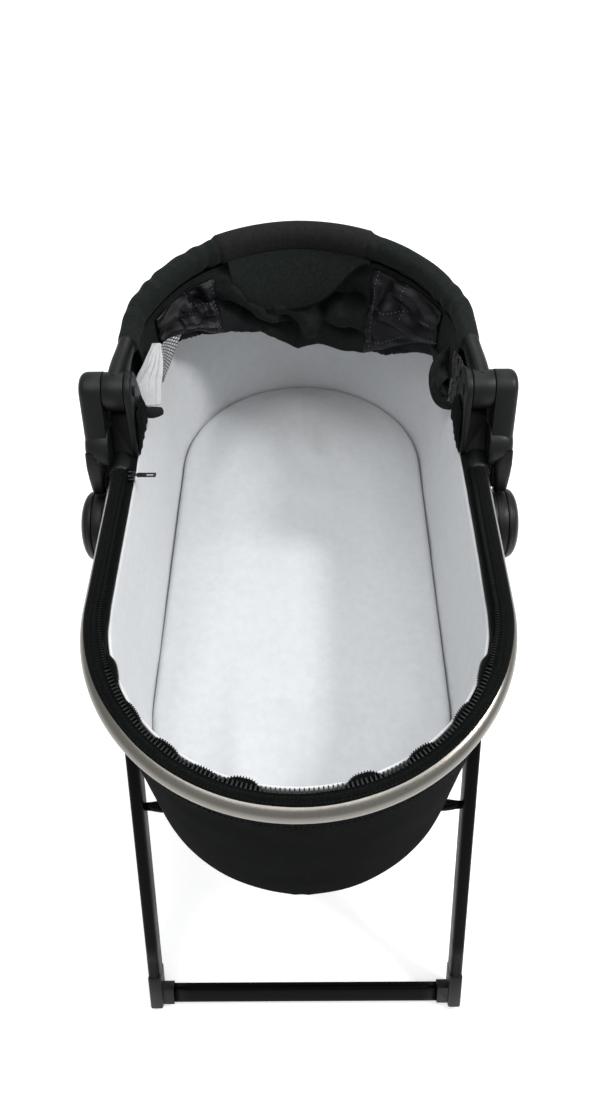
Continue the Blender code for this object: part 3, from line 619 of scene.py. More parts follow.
def dress(name, material, edge=0.0006):
    """Give a CAD node its material, welded rounded edges and clean shading."""
    obj = frame["nodes"][name]
    obj.data.materials.clear()
    obj.data.materials.append(MATERIALS[material])
    shade(obj.data)
    weld = obj.modifiers.new("weld", "WELD")
    weld.merge_threshold = WELD
    if edge:
        bevel = obj.modifiers.new("soft_edges", "BEVEL")
        bevel.width = edge
        bevel.segments = 2
        bevel.limit_method = "ANGLE"
        bevel.angle_limit = math.radians(38)
        bevel.harden_normals = True
    return obj


def dress_hard_parts():
    for prefix in ("front", "rear"):
        for tag in SIDES:
            dress(f"{prefix}_elbow_{tag}", "plastic", 0.0008)
            dress(f"{prefix}_foot_{tag}", "rubber", 0.0003)
            dress(f"{prefix}_hub_{tag}", "plastic")
    for tag in SIDES:
        dress(f"receiver_{tag}", "plastic")
        dress(f"side_housing_{tag}", "plastic")
        dress(f"release_button_{tag}", "plastic", 0.0003)
        dress(f"hinge_pin_{tag}", "steel", 0.0003)
        dress(f"canopy_pin_{tag}", "plastic", 0.0003)
    dress("bow_tube", "aluminium", 0.0)
    dress("base_board", "board", 0.0005)
    dress("zip_slider", "nickel", 0.0003)
    dress("zip_pull", "nickel", 0.0002)


# ---------------------------------------------------------------- stand

def make_legs_and_bars():
    """Legs, floor bars and crossbars with rounder sections than the CAD's."""
    for prefix, end, body in (("front", -1, "front_frame"), ("rear", 1, "rear_frame")):
        down = np.array([0.0, end * math.sin(LEG_LEAN), -math.cos(LEG_LEAN)])
        square = np.array([0.0, end * math.cos(LEG_LEAN), math.sin(LEG_LEAN)])
        hub = np.array(HUB) + square * LEG_OFFSET
        for tag, side in SIDES.items():
            low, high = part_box(f"{prefix}_leg_{tag}")
            base = hub + np.array([(low[0] + high[0]) / 2, 0, 0])
            path = [base + down * s for s in np.linspace(*LEG_ENDS, 12)]
            section = superellipse(0.018, 0.029, 4.0, 40)
            leg = sweep(f"{prefix}_leg_tube_{tag}", path, section, square, "paint")
            place(leg, body, "black_paint", f"{prefix}_leg_{tag}")
            make_rivet(prefix, body, tag, side)
        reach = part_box(f"{prefix}_floor_bar")[1][0]
        path = [hub + down * FLOOR_BAR_DOWN + np.array([x, 0, 0])
                for x in np.linspace(-reach, reach, 16)]
        bar = sweep(f"{prefix}_floor_tube", path, superellipse(0.013, 0.029, 5.0, 40), down,
                    "paint")
        place(bar, body, "black_paint", f"{prefix}_floor_bar")
        make_crossbar(prefix, body, hub + down * CROSSBAR_DOWN)


def make_crossbar(prefix, body, centre):
    """Round tube squeezed towards its riveted ends."""
    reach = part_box(f"{prefix}_crossbar")[1][0]
    x = np.linspace(-reach, reach, 61)
    squeeze = smoothstep((reach - np.abs(x)) / 0.022)
    turn = turns(32)
    rings = []
    for station, share in zip(x, squeeze):
        tall = 0.008 + 0.002 * (1 - share)
        deep = 0.008 * share + 0.0042 * (1 - share)
        rings.append(np.stack([np.full(32, station), centre[1] + deep * np.cos(turn),
                               centre[2] + tall * np.sin(turn)], -1))
    tube = skin(f"{prefix}_crossbar_tube", rings, "paint")
    place(tube, body, "black_paint", f"{prefix}_crossbar")


def make_rivet(prefix, body, tag, side):
    """Domed rivet head at a crossbar's end."""
    low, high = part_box(f"{prefix}_rivet_{tag}")
    centre = [0, (low[1] + high[1]) / 2, (low[2] + high[2]) / 2]
    inner = min(abs(low[0]), abs(high[0]))
    profile = [(inner, 0.0045), (inner + 0.0004, 0.0045), (inner + 0.001, 0.004),
               (inner + 0.0015, 0.0028), (inner + 0.0018, 0.0012)]
    rivet = turned(f"{prefix}_rivet_head_{tag}", profile, centre, side, "steel", 32)
    place(rivet, body, "steel", f"{prefix}_rivet_{tag}")


def make_hub_covers():
    """Domed hub covers, each with its fold button's cap."""
    for tag, side in SIDES.items():
        dome = [(0.2351, 0.0155), (0.2351, 0.04), (0.2355, 0.0407), (0.2362, 0.0411),
                (0.2388, 0.0412), (0.2394, 0.0408), (0.2397, 0.0404)]
        for k in range(1, 13):
            turn = math.radians(90 * k / 12)
            dome.append((0.2397 + 0.01 * math.sin(turn), 0.02 + 0.0204 * math.cos(turn)))
        dome += [(0.2499, 0.017), (0.2494, 0.016), (0.248, 0.0156)]
        cover = turned(f"hub_dome_{tag}", dome, HUB, side, "plastic", 112, closed=True)
        place(cover, "front_frame", "black_plastic", f"hub_cover_{tag}")
        profile = [(0.2386, 0.0146), (0.239, 0.015), (0.249, 0.015), (0.2502, 0.0147),
                   (0.251, 0.0138), (0.2515, 0.012), (0.2511, 0.0104), (0.2508, 0.006),
                   (0.2507, 0.001)]
        button = turned(f"fold_button_cap_{tag}", profile, HUB, side, "plastic", 72)
        place(button, f"fold_button_{tag}", "black_plastic", f"fold_button_{tag}")


# ---------------------------------------------------------------- carrycot

def make_rim():
    """Aluminium tube round the carrycot's two ends, meeting inside the collars."""
    middle = (COLLAR_FOOT_Y + COLLAR_HEAD_Y) / 2
    section = np.stack([RIM_R * np.cos(turns(40)), RIM_R * np.sin(turns(40))], -1)
    for name, end in (("foot", -1), ("head", 1)):
        path = rim_path(0.0, RIM_Z, end, middle + end * 0.003)
        tube = sweep(f"rim_{name}_smooth", path, section, UP, "aluminium")
        place(tube, "carrycot", "aluminium", f"rim_{name}_tube")


def tub_rings(half_width, top, bottom, corner, draft, rows, steps=80, sides=40):
    """Stadium rings down a tub's wall, round its bottom edge and in over its floor."""
    rings = []
    inset = HALF_WIDTH - half_width
    upright = top - bottom - corner
    for share in np.linspace(0, 1, rows):
        rings.append(stadium(inset + draft * share, top - upright * share, steps, sides))
    for degrees in np.linspace(8, 90, 11):
        turn = math.radians(degrees)
        over = corner * (1 - math.cos(turn))
        lift = corner * (1 - math.sin(turn))
        rings.append(stadium(inset + draft + over, bottom + lift, steps, sides))
    edge = inset + draft + corner
    for share in (0.3, 0.6, 0.85, 1.0):
        rings.append(stadium(edge + (HALF_WIDTH - edge) * share, bottom, steps, sides))
    return np.array(rings)


def outward_of(rings):
    """Level outward direction at each point of stadium rings."""
    centre = rings.copy()
    centre[..., 0] = 0.0
    centre[..., 1] = CENTRE_Y + np.clip(rings[..., 1] - CENTRE_Y, -CORNER_Y, CORNER_Y)
    away = rings - centre
    length = np.linalg.norm(away, axis=-1, keepdims=True)
    return away / np.maximum(length, 1e-9)


def make_shell():
    """Black cloth bowl under the rim, notched under the collars, with a seam at both ends."""
    top = SHELL_HIGH[2]
    rings = tub_rings(SHELL_HIGH[0], top, SHELL_LOW[2], 0.024, 0.016, 40)
    out = outward_of(rings)
    depth = np.clip((top - rings[..., 2]) / 0.05, 0, 1)
    soft = ripple(rings, 7.0, 0.0022, 1.0) + ripple(rings, 22.0, 0.0007, 2.0)
    seam = bell(rings[..., 0], 0.0022) * (rings[..., 2] < top - 0.004)
    pull = bell(rings[..., 0], 0.012) * 0.0012
    amount = (soft - 0.0012) * depth - seam * 0.001 + pull * depth
    floor = rings[..., 2] <= SHELL_LOW[2] + 0.002
    rings = rings + out * np.where(floor, 0.0, amount)[..., None]
    middle = (COLLAR_FOOT_Y + COLLAR_HEAD_Y) / 2
    half = (COLLAR_HEAD_Y - COLLAR_FOOT_Y) / 2 + 0.003
    collar = smoothstep((half - np.abs(rings[..., 1] - middle)) / 0.006)
    lower = collar * 0.0052 * (rings[..., 2] > top - 0.01) * (np.abs(rings[..., 0]) > 0.15)
    rings[..., 2] -= lower
    shell = skin("shell_cloth_bowl", rings, "shell", caps=False)
    wall(shell, 0.003, -1.0)
    place(shell, "carrycot", "black_fabric", "outer_shell")
    for name, end, stop in (("foot", -1, COLLAR_FOOT_Y), ("head", 1, COLLAR_HEAD_Y)):
        path = rim_path(HALF_WIDTH - SHELL_HIGH[0] - 0.0006, top - 0.012, end, stop)
        stitches(f"shell_hem_stitches_{name}", path, "tape", body="carrycot")


def make_liner():
    """Padded white wall with a rolled top edge, upright seams and soft creases."""
    inner = LINER_HIGH[0] - 0.003
    rings = tub_rings(inner, LINER_HIGH[2], LINER_LOW[2] + 0.003, 0.028, 0.0081, 34, 110, 60)
    out = outward_of(rings)
    height = rings[..., 2]
    near = np.clip((LINER_HIGH[2] - height) / 0.04, 0, 1) * (height > MATTRESS_HIGH[2] - 0.02)
    upright = rings * np.array([1.0, 1.0, 0.15])
    soft = ripple(upright, 8.0, 0.003, 5.0) + ripple(upright, 22.0, 0.001, 6.0)
    seams = np.zeros(rings.shape[:2])
    for x, y in LINER_SEAMS:
        away = np.hypot(rings[..., 0] - x, rings[..., 1] - y)
        seams += bell(away, 0.0035) * 0.0014
    amount = (np.minimum(soft, 0.0006) - 0.0006) * near - seams * near
    floor = rings[..., 2] <= LINER_LOW[2] + 0.006
    rings = rings + out * np.where(floor, 0.0, amount)[..., None]
    liner = skin("liner_cloth_tub", rings, "liner", caps=False)
    wall(liner, 0.0022, 1.0)
    place(liner, "carrycot", "white_fabric", "liner")


def close_bottom(obj, columns):
    """Fill the first ring of a form whose last ring already meets itself."""
    bm = bmesh.new()
    bm.from_mesh(obj.data)
    edges = [e for e in bm.edges if e.is_boundary]
    bmesh.ops.holes_fill(bm, edges=edges, sides=columns)
    bmesh.ops.recalc_face_normals(bm, faces=bm.faces[:])
    bm.to_mesh(obj.data)
    bm.free()
    shade(obj.data)


def make_mattress():
    """Flat foam pad with a rolled edge, a low crown and loose-cover wrinkles."""
    half = MATTRESS_HIGH[0]
    top = MATTRESS_HIGH[2]
    inset = HALF_WIDTH - half
    rolled = 0.0085
    density = (100, 90)
    low = MATTRESS_LOW[2]
    rings = [stadium(inset + 0.006, low + 0.0003, *density),
             stadium(inset + 0.0008, low + 0.006, *density), stadium(inset, low + 0.016, *density),
             stadium(inset, top - rolled, *density)]
    for degrees in (18, 36, 54, 72, 90):
        turn = math.radians(degrees)
        over, down = rolled * (1 - math.cos(turn)), rolled * (1 - math.sin(turn))
        rings.append(stadium(inset + over, top - down, *density))
    start = inset + rolled
    for share in np.linspace(0, 1, 46)[1:]:
        rings.append(stadium(start + (HALF_WIDTH - start) * share, top, *density))
    rings = np.array(rings)
    level_y = rings[..., 1] - CENTRE_Y
    radius = np.hypot(rings[..., 0], level_y - np.clip(level_y, -CORNER_Y, CORNER_Y))
    away = np.clip((half - radius) / half, 0, 1)
    flat = rings * np.array([1.0, 1.0, 0.0])
    crown = 0.004 * smoothstep(away * 2.0)
    swells = ripple(flat * np.array([1.0, 0.6, 0.0]), 6.0, 0.0042, 11.0)
    warp = ripple(flat, 9.0, 0.02, 14.0)
    bent = flat + np.stack([warp, -warp, np.zeros_like(warp)], -1)
    slack = ripple(bent * np.array([1.0, 0.22, 0.0]), 20.0, 0.008, 12.0)
    near_middle = smoothstep((0.16 - np.abs(rings[..., 0] + 0.05)) / 0.12)
    foot = smoothstep((-0.02 - rings[..., 1]) / 0.2) * near_middle
    fine = ripple(flat, 34.0, 0.0006, 13.0)
    lifted = rings[..., 2] > top - rolled * 0.6
    across = rings[..., 0] + ripple(flat * np.array([0.0, 1.0, 0.0]), 5.0, 0.018, 15.0)
    ridge = 0.0068 * np.exp(-np.abs(across - 0.004) / 0.05) * smoothstep(away * 3.0)
    head = smoothstep((rings[..., 1] - 0.14) / 0.08)
    puckers = ripple(bent * np.array([1.0, 0.5, 0.0]), 24.0, 0.0052, 16.0) * head
    soft = crown + ridge + swells * smoothstep(away * 5.0) + fine
    soft += (slack * (0.25 + 0.75 * foot) + puckers) * smoothstep(away * 7.0)
    rings[..., 2] += np.maximum(soft, -0.005) * lifted
    mattress = skin("mattress_cover", rings, "mattress", caps=False)
    close_bottom(mattress, rings.shape[1])
    place(mattress, "carrycot", "white_fabric", "mattress")


def foot_share(path):
    """0 on the rim's sides to 1 at the tip of the foot end, and the angle from that tip."""
    y = path[:, 1] - (CENTRE_Y - CORNER_Y)
    angle = np.degrees(np.arctan2(path[:, 0], -np.minimum(y, 0.0) + 1e-9))
    share = np.where(y < 0, np.cos(np.radians(angle)), 0.0)
    return smoothstep(share * 1.3), np.where(y < 0, angle, 999.0)


def make_zips():
    """Cloth band over the rim's inner half with one side of a zip along its edge."""
    for name, end, stop in (("foot", -1, COLLAR_FOOT_Y - 0.0012),
                            ("head", 1, COLLAR_HEAD_Y + 0.0012)):
        path = rim_path(0.0, RIM_Z, end, stop, 190, 70)
        foot, _ = foot_share(path)
        edge = 0.007 - 0.005 * foot + ripple(path, 30.0, 0.0004, 20.0)
        inner = -(0.0122 - 0.003 * foot) + ripple(path, 34.0, 0.0005, 23.0)
        seat = np.sqrt(RIM_R ** 2 - edge ** 2)
        one = np.ones_like(edge)
        outline = [(edge, seat + 0.0004), (edge - 0.0002, seat + 0.0014),
                   (edge - 0.001, seat + 0.0024), (edge * 0.45, 0.0134 * one),
                   (-0.002 * one, 0.0138 * one), (-0.0052 * one, 0.0137 * one),
                   (-0.0062 * one, 0.0124 * one), (-0.008 * one, 0.0121 * one),
                   (inner + 0.0006, 0.0118 * one), (inner, 0.0113 * one),
                   (inner + 0.0004, 0.0105 * one), (-0.008 * one, 0.0106 * one),
                   (-0.005 * one, 0.0114 * one), (edge * 0.3, 0.0117 * one)]
        section = np.array(outline).transpose(2, 0, 1)
        section[..., 1] += ripple(path, 24.0, 0.0005, 25.0)[:, None] * (section[..., 1] > 0.0119)
        section[..., 0] *= -end
        band = sweep(f"zip_band_{name}_cloth", path, section, UP, "tape")
        place(band, "carrycot", "black_fabric", f"zip_band_{name}")
        out = outward_of(path[None])[0]
        reach = (0.0104 + ripple(path, 18.0, 0.0007, 26.0)) * (1 - foot) + (0.0016 - inner) * foot
        chain = path - out * reach[:, None] + UP * 0.0127
        coarse = np.where(foot > 0.5)[0]
        runs = [("", slice(None), FINE_TEETH)]
        if len(coarse):
            first, last = coarse[0], coarse[-1]
            runs = [("", slice(first, last + 1), COARSE_TEETH),
                    ("_side_l", slice(0, first + 1), FINE_TEETH),
                    ("_side_r", slice(last, None), FINE_TEETH)]
        for label, part, sizes in runs:
            teeth(f"zip_chain_{name}{label}", chain[part], -out[part], *sizes)
        for label, shift, lift in (("outer", -0.0005, 0.014), ("middle", 0.0045, 0.0139)):
            seam = path - out * shift + UP * lift
            stitches(f"zip_{label}_stitches_{name}", seam, "thread_dark", 0.0022, 0.0014, 0.0003,
                     "carrycot")
    make_inner_tape()
    for tag, side in SIDES.items():
        make_tape_slack(tag, side)


def make_inner_tape():
    """Loose zip tape along the liner's edge, which waves inward round the foot."""
    loop = stadium(0.0, RIM_Z, 240, 110)
    out = outward_of(loop[None])[0]
    foot, angle = foot_share(loop)
    lobes = np.zeros(len(loop))
    for at, proud, wide in LOBES:
        lobes += proud * np.exp(-(np.abs(angle - at) / wide) ** 3.2)
    side = ripple(loop, 15.0, 0.0013, 31.0) + ripple(loop, 40.0, 0.0005, 32.0)
    reach = (0.0172 + side) * (1 - foot) + 0.0048 * foot + lobes
    root = loop - out * 0.0042 + UP * 0.009
    halfway = 0.55 * reach + 0.45 * 0.0042
    low = loop - out * halfway[:, None] + UP * (0.0086 + 0.1 * lobes)[:, None]
    tip = loop - out * reach[:, None] + UP * (0.0086 + 0.3 * lobes)[:, None]
    rows = through([root, low, tip], 7)
    tape = skin("zip_inner_tape", rows, "tape", caps=False)
    wall(tape, 0.0009, 0.0)
    place(tape, "carrycot", "black_fabric")
    edge = np.concatenate([tip, tip[:1]])
    teeth("zip_inner_chain", edge, -np.concatenate([out, out[:1]]), *INNER_TEETH)


def make_tape_slack(tag, side):
    """Zip cloth bunched in upright folds beside the collar, between the drum and the rim."""
    rows = (((0.1765, 0.029, 0.774), (0.1762, 0.044, 0.779), (0.1765, 0.064, 0.774)),
            ((0.1752, 0.018, 0.752), (0.1748, 0.044, 0.754), (0.1752, 0.072, 0.752)),
            ((0.1775, 0.015, 0.73), (0.1772, 0.044, 0.73), (0.1775, 0.08, 0.73)))
    rows = np.array(rows) * np.array([side, 1.0, 1.0])
    grid = cloth_from(rows, 110, 50, (5.0, 0.0011), 110.0 + side)
    make_sheet(f"zip_tape_slack_{tag}", grid, "tape", 0.001,
               "carrycot")


# ---------------------------------------------------------------- canopy

def bow_point(reach, x, lift=0.0):
    """Points in the bow's plane, or a lift over it."""
    reach, x, lift = np.broadcast_arrays(*[np.asarray(v, float) for v in (reach, x, lift)])
    across = np.stack([x, np.zeros_like(x), np.zeros_like(x)], -1)
    return BOW_BASE + across + BOW_ALONG * reach[..., None] + BOW_UP * lift[..., None]


def bow_stations(count):
    """Even samples (x, reach) along the bow, left to right, with the outward direction."""
    half = [(-x, reach) for reach, x in BOW_STATIONS]
    points = through(half + [(-x, reach) for x, reach in reversed(half[:-1])], count)
    run = np.gradient(points, axis=0)
    run /= np.linalg.norm(run, axis=1, keepdims=True)
    centre = bow_point(points[:, 1], points[:, 0])
    outward = bow_point(run[:, 0], -run[:, 1]) - BOW_BASE
    return points, centre, outward


def sleeve_wrinkles(run, angle, seed):
    """Slanting soft folds of a sleeve that is a little too long for its tube."""
    grid = np.stack(np.broadcast_arrays(run[:, None] * 1.0, 0.011 * np.cos(angle)[None],
                                        0.011 * np.sin(angle)[None]), -1)
    sway = ripple(grid, 18.0, 0.9, seed)
    slanted = run[:, None] + 0.006 * np.sin(angle[None] + seed) + 0.012 * sway
    depth = np.clip(ripple(grid, 24.0, 1.8, seed + 1), 0.0, 0.8)
    folds = np.sin(slanted * 2 * math.pi / 0.026) * depth
    inside = 0.45 + 0.55 * (0.5 - 0.5 * np.cos(angle[None]))
    return 0.0024 * folds * inside + ripple(grid, 45.0, 0.0006, seed + 2)


def capsule(first, second, inset, steps=36):
    """Outline round two circles (y, z, radius), drawn in by an inset, as (y, z) points."""
    a, b = np.array(first[:2]), np.array(second[:2])
    axis = b - a
    length = np.linalg.norm(axis)
    base = math.atan2(axis[1], axis[0])
    open_angle = math.acos((first[2] - second[2]) / length)
    points = []
    for centre, radius, low, high in ((a, first[2], open_angle, 2 * math.pi - open_angle),
                                      (b, second[2], -open_angle, open_angle)):
        for turn in np.linspace(low, high, steps):
            points.append(centre + (radius - inset)
                          * np.array([math.cos(base + turn), math.sin(base + turn)]))
    return np.array(points)


def joined(name, parts, material):
    """Several closed forms as one object."""
    bm = bmesh.new()
    for part in parts:
        bm.from_mesh(part.data)
        bpy.data.meshes.remove(part.data)
    mesh = bpy.data.meshes.new(name)
    bm.to_mesh(mesh)
    bm.free()
    shade(mesh)
    mesh.materials.append(MATERIALS[material])
    return linked(name, mesh)


def plate_form(name, first, second, layers, side, material):
    """A capsule-shaped plate across X: layers of (x, inset)."""
    rings = []
    for x, inset in layers:
        outline = capsule(first, second, inset)
        rings.append(np.column_stack([np.full(len(outline), side * x), outline]))
    return skin(name, rings, material)


def make_side_parts():
    """Smooth casings beside the carrycot, with drums and the arms that run up into the sleeves."""
    lean = math.atan2(DRUM[1] - HUB[1], DRUM[2] - HUB[2])
    up = np.array([math.sin(lean), math.cos(lean)])
    hub = np.array([HUB[1], HUB[2]])
    drum = (DRUM[1], DRUM[2], 0.0215)
    low_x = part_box("side_cover_r")[0][0]
    for tag, side in SIDES.items():
        shoulder = (*(hub + up * SHOULDER_UP), 0.0188)
        layers = [(CASING_INNER, 0.003), (CASING_INNER, 0.0006), (0.2106, 0.0)]
        for degrees in range(0, 91, 10):
            turn = math.radians(degrees)
            x = CASING_OUTER - CASING_ROUND + CASING_ROUND * math.sin(turn)
            layers.append((x, CASING_ROUND * (1 - math.cos(turn))))
        layers.append((CASING_OUTER, 0.012))
        casing = plate_form("casing", drum, shoulder, layers, side, "plastic")
        profile = [(low_x, 0.018), (low_x, 0.0244), (0.2092, 0.0248), (0.215, 0.025),
                   (0.22, 0.0247), (0.226, 0.0237), (0.2305, 0.0221), (0.2335, 0.02),
                   (0.2347, 0.018), (0.2348, 0.015)]
        dome = turned("dome", profile, (0, *shoulder[:2]), side, "plastic", 72)
        post = plate_form("post", (*shoulder[:2], 0.0172), (*(hub + up * POST_FOOT_UP), 0.012),
                          [(0.215, 0.001), (0.2156, 0.0), (0.2255, 0.0), (0.229, 0.0008),
                           (0.2315, 0.0028), (0.2325, 0.0055)], side, "plastic")
        cover = joined(f"side_casing_{tag}", [casing, dome, post], "plastic")
        place(cover, "carrycot", "black_plastic", f"side_cover_{tag}")
        disc = turned("disc", [(0.1861, 0.0196), (0.1864, 0.0207), (0.1872, 0.0211),
                               (0.2086, 0.0211), (0.2092, 0.0208), (0.2094, 0.02)],
                      DRUM, side, "plastic", 96)
        start = np.array(DRUM) + np.array([side * 0.1971, 0.004, 0.003])
        end = bow_point(0.088, side * 0.193)
        path = through([start, start * 0.55 + end * 0.45 + np.array([side * 0.001, 0, 0.0015]),
                        end], 26)
        share = np.linspace(0, 1, 26)
        sections = []
        for at in share:
            wide = 0.0212 - 0.003 * smoothstep(at / 0.75)
            deep = 0.037 - 0.015 * smoothstep(at / 0.7)
            sections.append(superellipse(wide, deep, 2.5, 48))
        arm = sweep("arm", path, np.array(sections), BOW_UP, "plastic")
        limb = joined(f"bow_arm_{tag}_smooth", [disc, arm], "plastic")
        place(limb, "canopy", "black_plastic", f"bow_arm_{tag}")


def make_bow_covers():
    """Loose sleeves on the bow's sides and the padded grip at its top."""
    points, centre, outward = bow_stations(900)
    x = points[:, 0]
    angle = turns(56)
    outline = superellipse(1.0, 1.0, 2.4, 56)
    for name, keep, width, height in (
        ("sleeve_l", x < GRIP_LEFT + SLEEVE_UNDER_GRIP, 0.0272, 0.029),
        ("grip", (x >= GRIP_LEFT) & (x <= GRIP_RIGHT), 0.0328, 0.0335),
        ("sleeve_r", x > GRIP_RIGHT - SLEEVE_UNDER_GRIP, 0.0272, 0.029),
    ):
        path, out = centre[keep], outward[keep]
        run = lengths_of(path)
        total = run[-1]
        ends = np.minimum(run, total - run)
        if name == "grip":
            size = 0.9 + 0.1 * smoothstep(ends / 0.0045)
            wide, tall = width * size, height * size
            slack = ripple(path, 12.0, 0.0006, 42.0)[:, None] + np.zeros((1, 56))
        else:
            low_end = run if name == "sleeve_l" else total - run
            full = smoothstep(low_end / 0.1)
            wide = width * (0.86 + 0.14 * full)
            tall = height * (0.88 + 0.12 * full)
            tuck = smoothstep(ends / 0.003)
            wide, tall = wide * (0.94 + 0.06 * tuck), tall * (0.94 + 0.06 * tuck)
            slack = sleeve_wrinkles(run, angle, 3.0 if name == "sleeve_l" else 7.0)
            slack *= (0.35 + 0.65 * full[:, None]) * smoothstep(ends / 0.012)[:, None]
        scale_a = wide[:, None] * outline[None, :, 0]
        scale_b = tall[:, None] * outline[None, :, 1]
        radial = np.maximum(np.hypot(scale_a, scale_b), 1e-6)
        seam = bell(angle[None] - math.pi * 1.22, 0.07) * 0.0012
        grow = 1 + (slack - seam - 0.0004) / radial
        aside, along = scale_a * grow, scale_b * grow
        rings = path[:, None] + out[:, None] * aside[..., None] + BOW_UP * along[..., None]
        cover = skin(f"bow_{name}_cloth", rings, "grip" if name == "grip" else "canopy")
        place(cover, "canopy", "black_fabric", "handle_grip" if name == "grip" else f"bow_{name}")
        if name == "grip":
            for label, at in (("l", 8), ("r", len(path) - 9)):
                ring = path[at] + (rings[at] - path[at]) * 1.01
                stitches(f"grip_stitches_{label}", np.concatenate([ring, ring[:1]]), "thread_dark",
                         0.0028, 0.0016, 0.0004, "canopy")


def rim_point(share, inset, z):
    """Points over the rim's head end, share 0 at the left collar and 1 at the right."""
    share = np.asarray(share, float)
    radius = HALF_WIDTH - inset
    corner = CENTRE_Y + CORNER_Y
    straight = corner - COLLAR_HEAD_Y
    total = 2 * straight + math.pi * radius
    run = share * total
    turn = np.clip((run - straight) / radius, 0, math.pi)
    x = -radius * np.cos(turn)
    y = corner + radius * np.sin(turn)
    y = np.where(run < straight, COLLAR_HEAD_Y + run, y)
    y = np.where(run > total - straight, COLLAR_HEAD_Y + total - run, y)
    return np.stack([x, y, np.full_like(x, z) if np.isscalar(z) else z], -1)


def make_back_panel():
    """Outside of the folded hood, from the rim up to the bow, gathered under the bow."""
    _, centre, outward = bow_stations(260)
    keep = slice(6, -6)
    share = np.linspace(0, 1, 260)[keep]
    centre, outward = centre[keep], outward[keep]
    arch = np.sin(math.pi * share)[:, None]
    hang = centre + outward * 0.004 - BOW_UP * 0.0172
    seat = rim_point(share, 0.0, RIM_Z + 0.015)
    middle = (hang + seat) / 2 + np.array([0, 0.012, 0.008]) * arch + outward * 0.004
    grid = through([hang, middle, seat], 64).transpose(1, 0, 2)
    level = np.linspace(0, 1, 64)[None]
    n = normals_of(grid)
    n *= np.sign((n * (grid - np.array([0, 0.1, 0.6]))).sum(-1, keepdims=True))
    free = np.sin(math.pi * level) ** 0.7
    gathers = ripple(grid * np.array([1.0, 1.0, 0.15]), 60.0, 0.003, 50.0) * (1 - level) ** 1.5
    warp = ripple(grid, 10.0, 0.03, 53.0)
    bent = grid * np.array([1.0, 1.0, 2.2]) + warp[..., None] * np.array([1.0, 0.0, 1.0])
    slack = ripple(bent, 13.0, 0.0085, 51.0) + ripple(grid, 44.0, 0.001, 52.0)
    grid = grid + n * (slack * free + gathers * smoothstep(level * 12))[..., None]
    make_sheet("hood_back_cloth", grid, "canopy", 0.0016,
               nodes=["canopy_panel"])


def make_sheet(name, grid, material, thickness, body=None, nodes=()):
    """A sheet of cloth over an open grid; without a body its transform is baked into its points."""
    cloth = skin(name, grid, material, caps=False, ring_closed=False)
    wall(cloth, thickness, 0.0)
    if nodes:
        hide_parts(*nodes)
    if body:
        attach(cloth, body)
    else:
        turn_with_hood(cloth)


def swag_grid():
    """Hanging lining: down from the bow, round its hem and back up over the liner's edge."""
    points, centre, outward = bow_stations(420)
    keep = slice(10, -10)
    share = np.linspace(0, 1, 420)[keep]
    centre, outward, x = centre[keep], outward[keep], points[keep, 0]
    inner = centre - outward * 0.006 - BOW_UP * 0.018
    swag = np.clip((0.176 - np.abs(x)) / 0.11, 0, 1)[:, None]
    hem_z = RIM_Z + np.interp(x, [h[0] for h in HEM], [h[1] for h in HEM])
    hem_z += ripple(inner, 22.0, 0.0025, 61.0)
    hem = inner - outward * (0.004 + 0.016 * swag)
    hem[:, 2] = hem_z
    half = inner * 0.5 + hem * 0.5 - outward * 0.012 * swag
    over = rim_point(share, 0.034, RIM_Z + 0.0225)
    tuck = hem * 0.55 + over * 0.45
    tuck[:, 2] = hem_z + 0.012
    seat = rim_point(share, 0.0205, RIM_Z + 0.014)
    grid = through([inner, half, hem, tuck, over, seat], 150).transpose(1, 0, 2)
    return grid, x


# The lining's folds: (line of (x, z) points, height, half width); a pit has a negative height
FOLD_LINES = (
    (((-0.098, 0.806), (-0.092, 0.775), (-0.071, 0.749), (-0.041, 0.732)), 0.013, 0.0125),
    (((-0.113, 0.763), (-0.096, 0.752), (-0.078, 0.738)), -0.015, 0.0095),
    (((-0.08, 0.733), (-0.051, 0.717), (-0.02, 0.705)), -0.012, 0.0085),
    (((-0.049, 0.74), (-0.019, 0.724), (-0.003, 0.708), (-0.004, 0.698)), -0.011, 0.008),
    (((-0.036, 0.748), (-0.002, 0.732), (0.02, 0.708)), 0.012, 0.013),
    (((0.034, 0.737), (0.044, 0.757), (0.068, 0.765), (0.085, 0.75)), -0.017, 0.011),
    (((0.038, 0.718), (0.07, 0.708), (0.105, 0.71)), -0.013, 0.009),
    (((0.012, 0.737), (0.034, 0.722), (0.06, 0.716)), 0.008, 0.011),
    (((0.06, 0.739), (0.086, 0.731), (0.1, 0.715)), 0.012, 0.012),
    (((-0.161, 0.788), (-0.144, 0.753), (-0.113, 0.758)), 0.007, 0.011),
    (((-0.142, 0.783), (-0.133, 0.756), (-0.144, 0.717)), -0.01, 0.008),
)


def lining_relief(grid, x, fall):
    """Depth of the lining's folds: slanting ridges and pits between the flap and the hem."""
    z = grid[..., 2]
    across = np.broadcast_to(x[:, None], z.shape)
    wander = ripple(grid, 16.0, 0.006, 70.0)
    relief = np.zeros(z.shape)
    for points, depth, wide in FOLD_LINES:
        best = np.full(z.shape, 1.0)
        for (xa, za), (xb, zb) in zip(points, points[1:]):
            dx, dz = xb - xa, zb - za
            t = np.clip(((across - xa) * dx + (z - za) * dz) / (dx * dx + dz * dz), 0, 1)
            best = np.minimum(best, np.hypot(across - xa - t * dx, z - za - t * dz))
        relief += depth * np.exp(-((best + wander * 0.6) / wide) ** 2)
    return np.where(relief > 0, 0.8, 1.6) * relief * smoothstep(fall * 6)


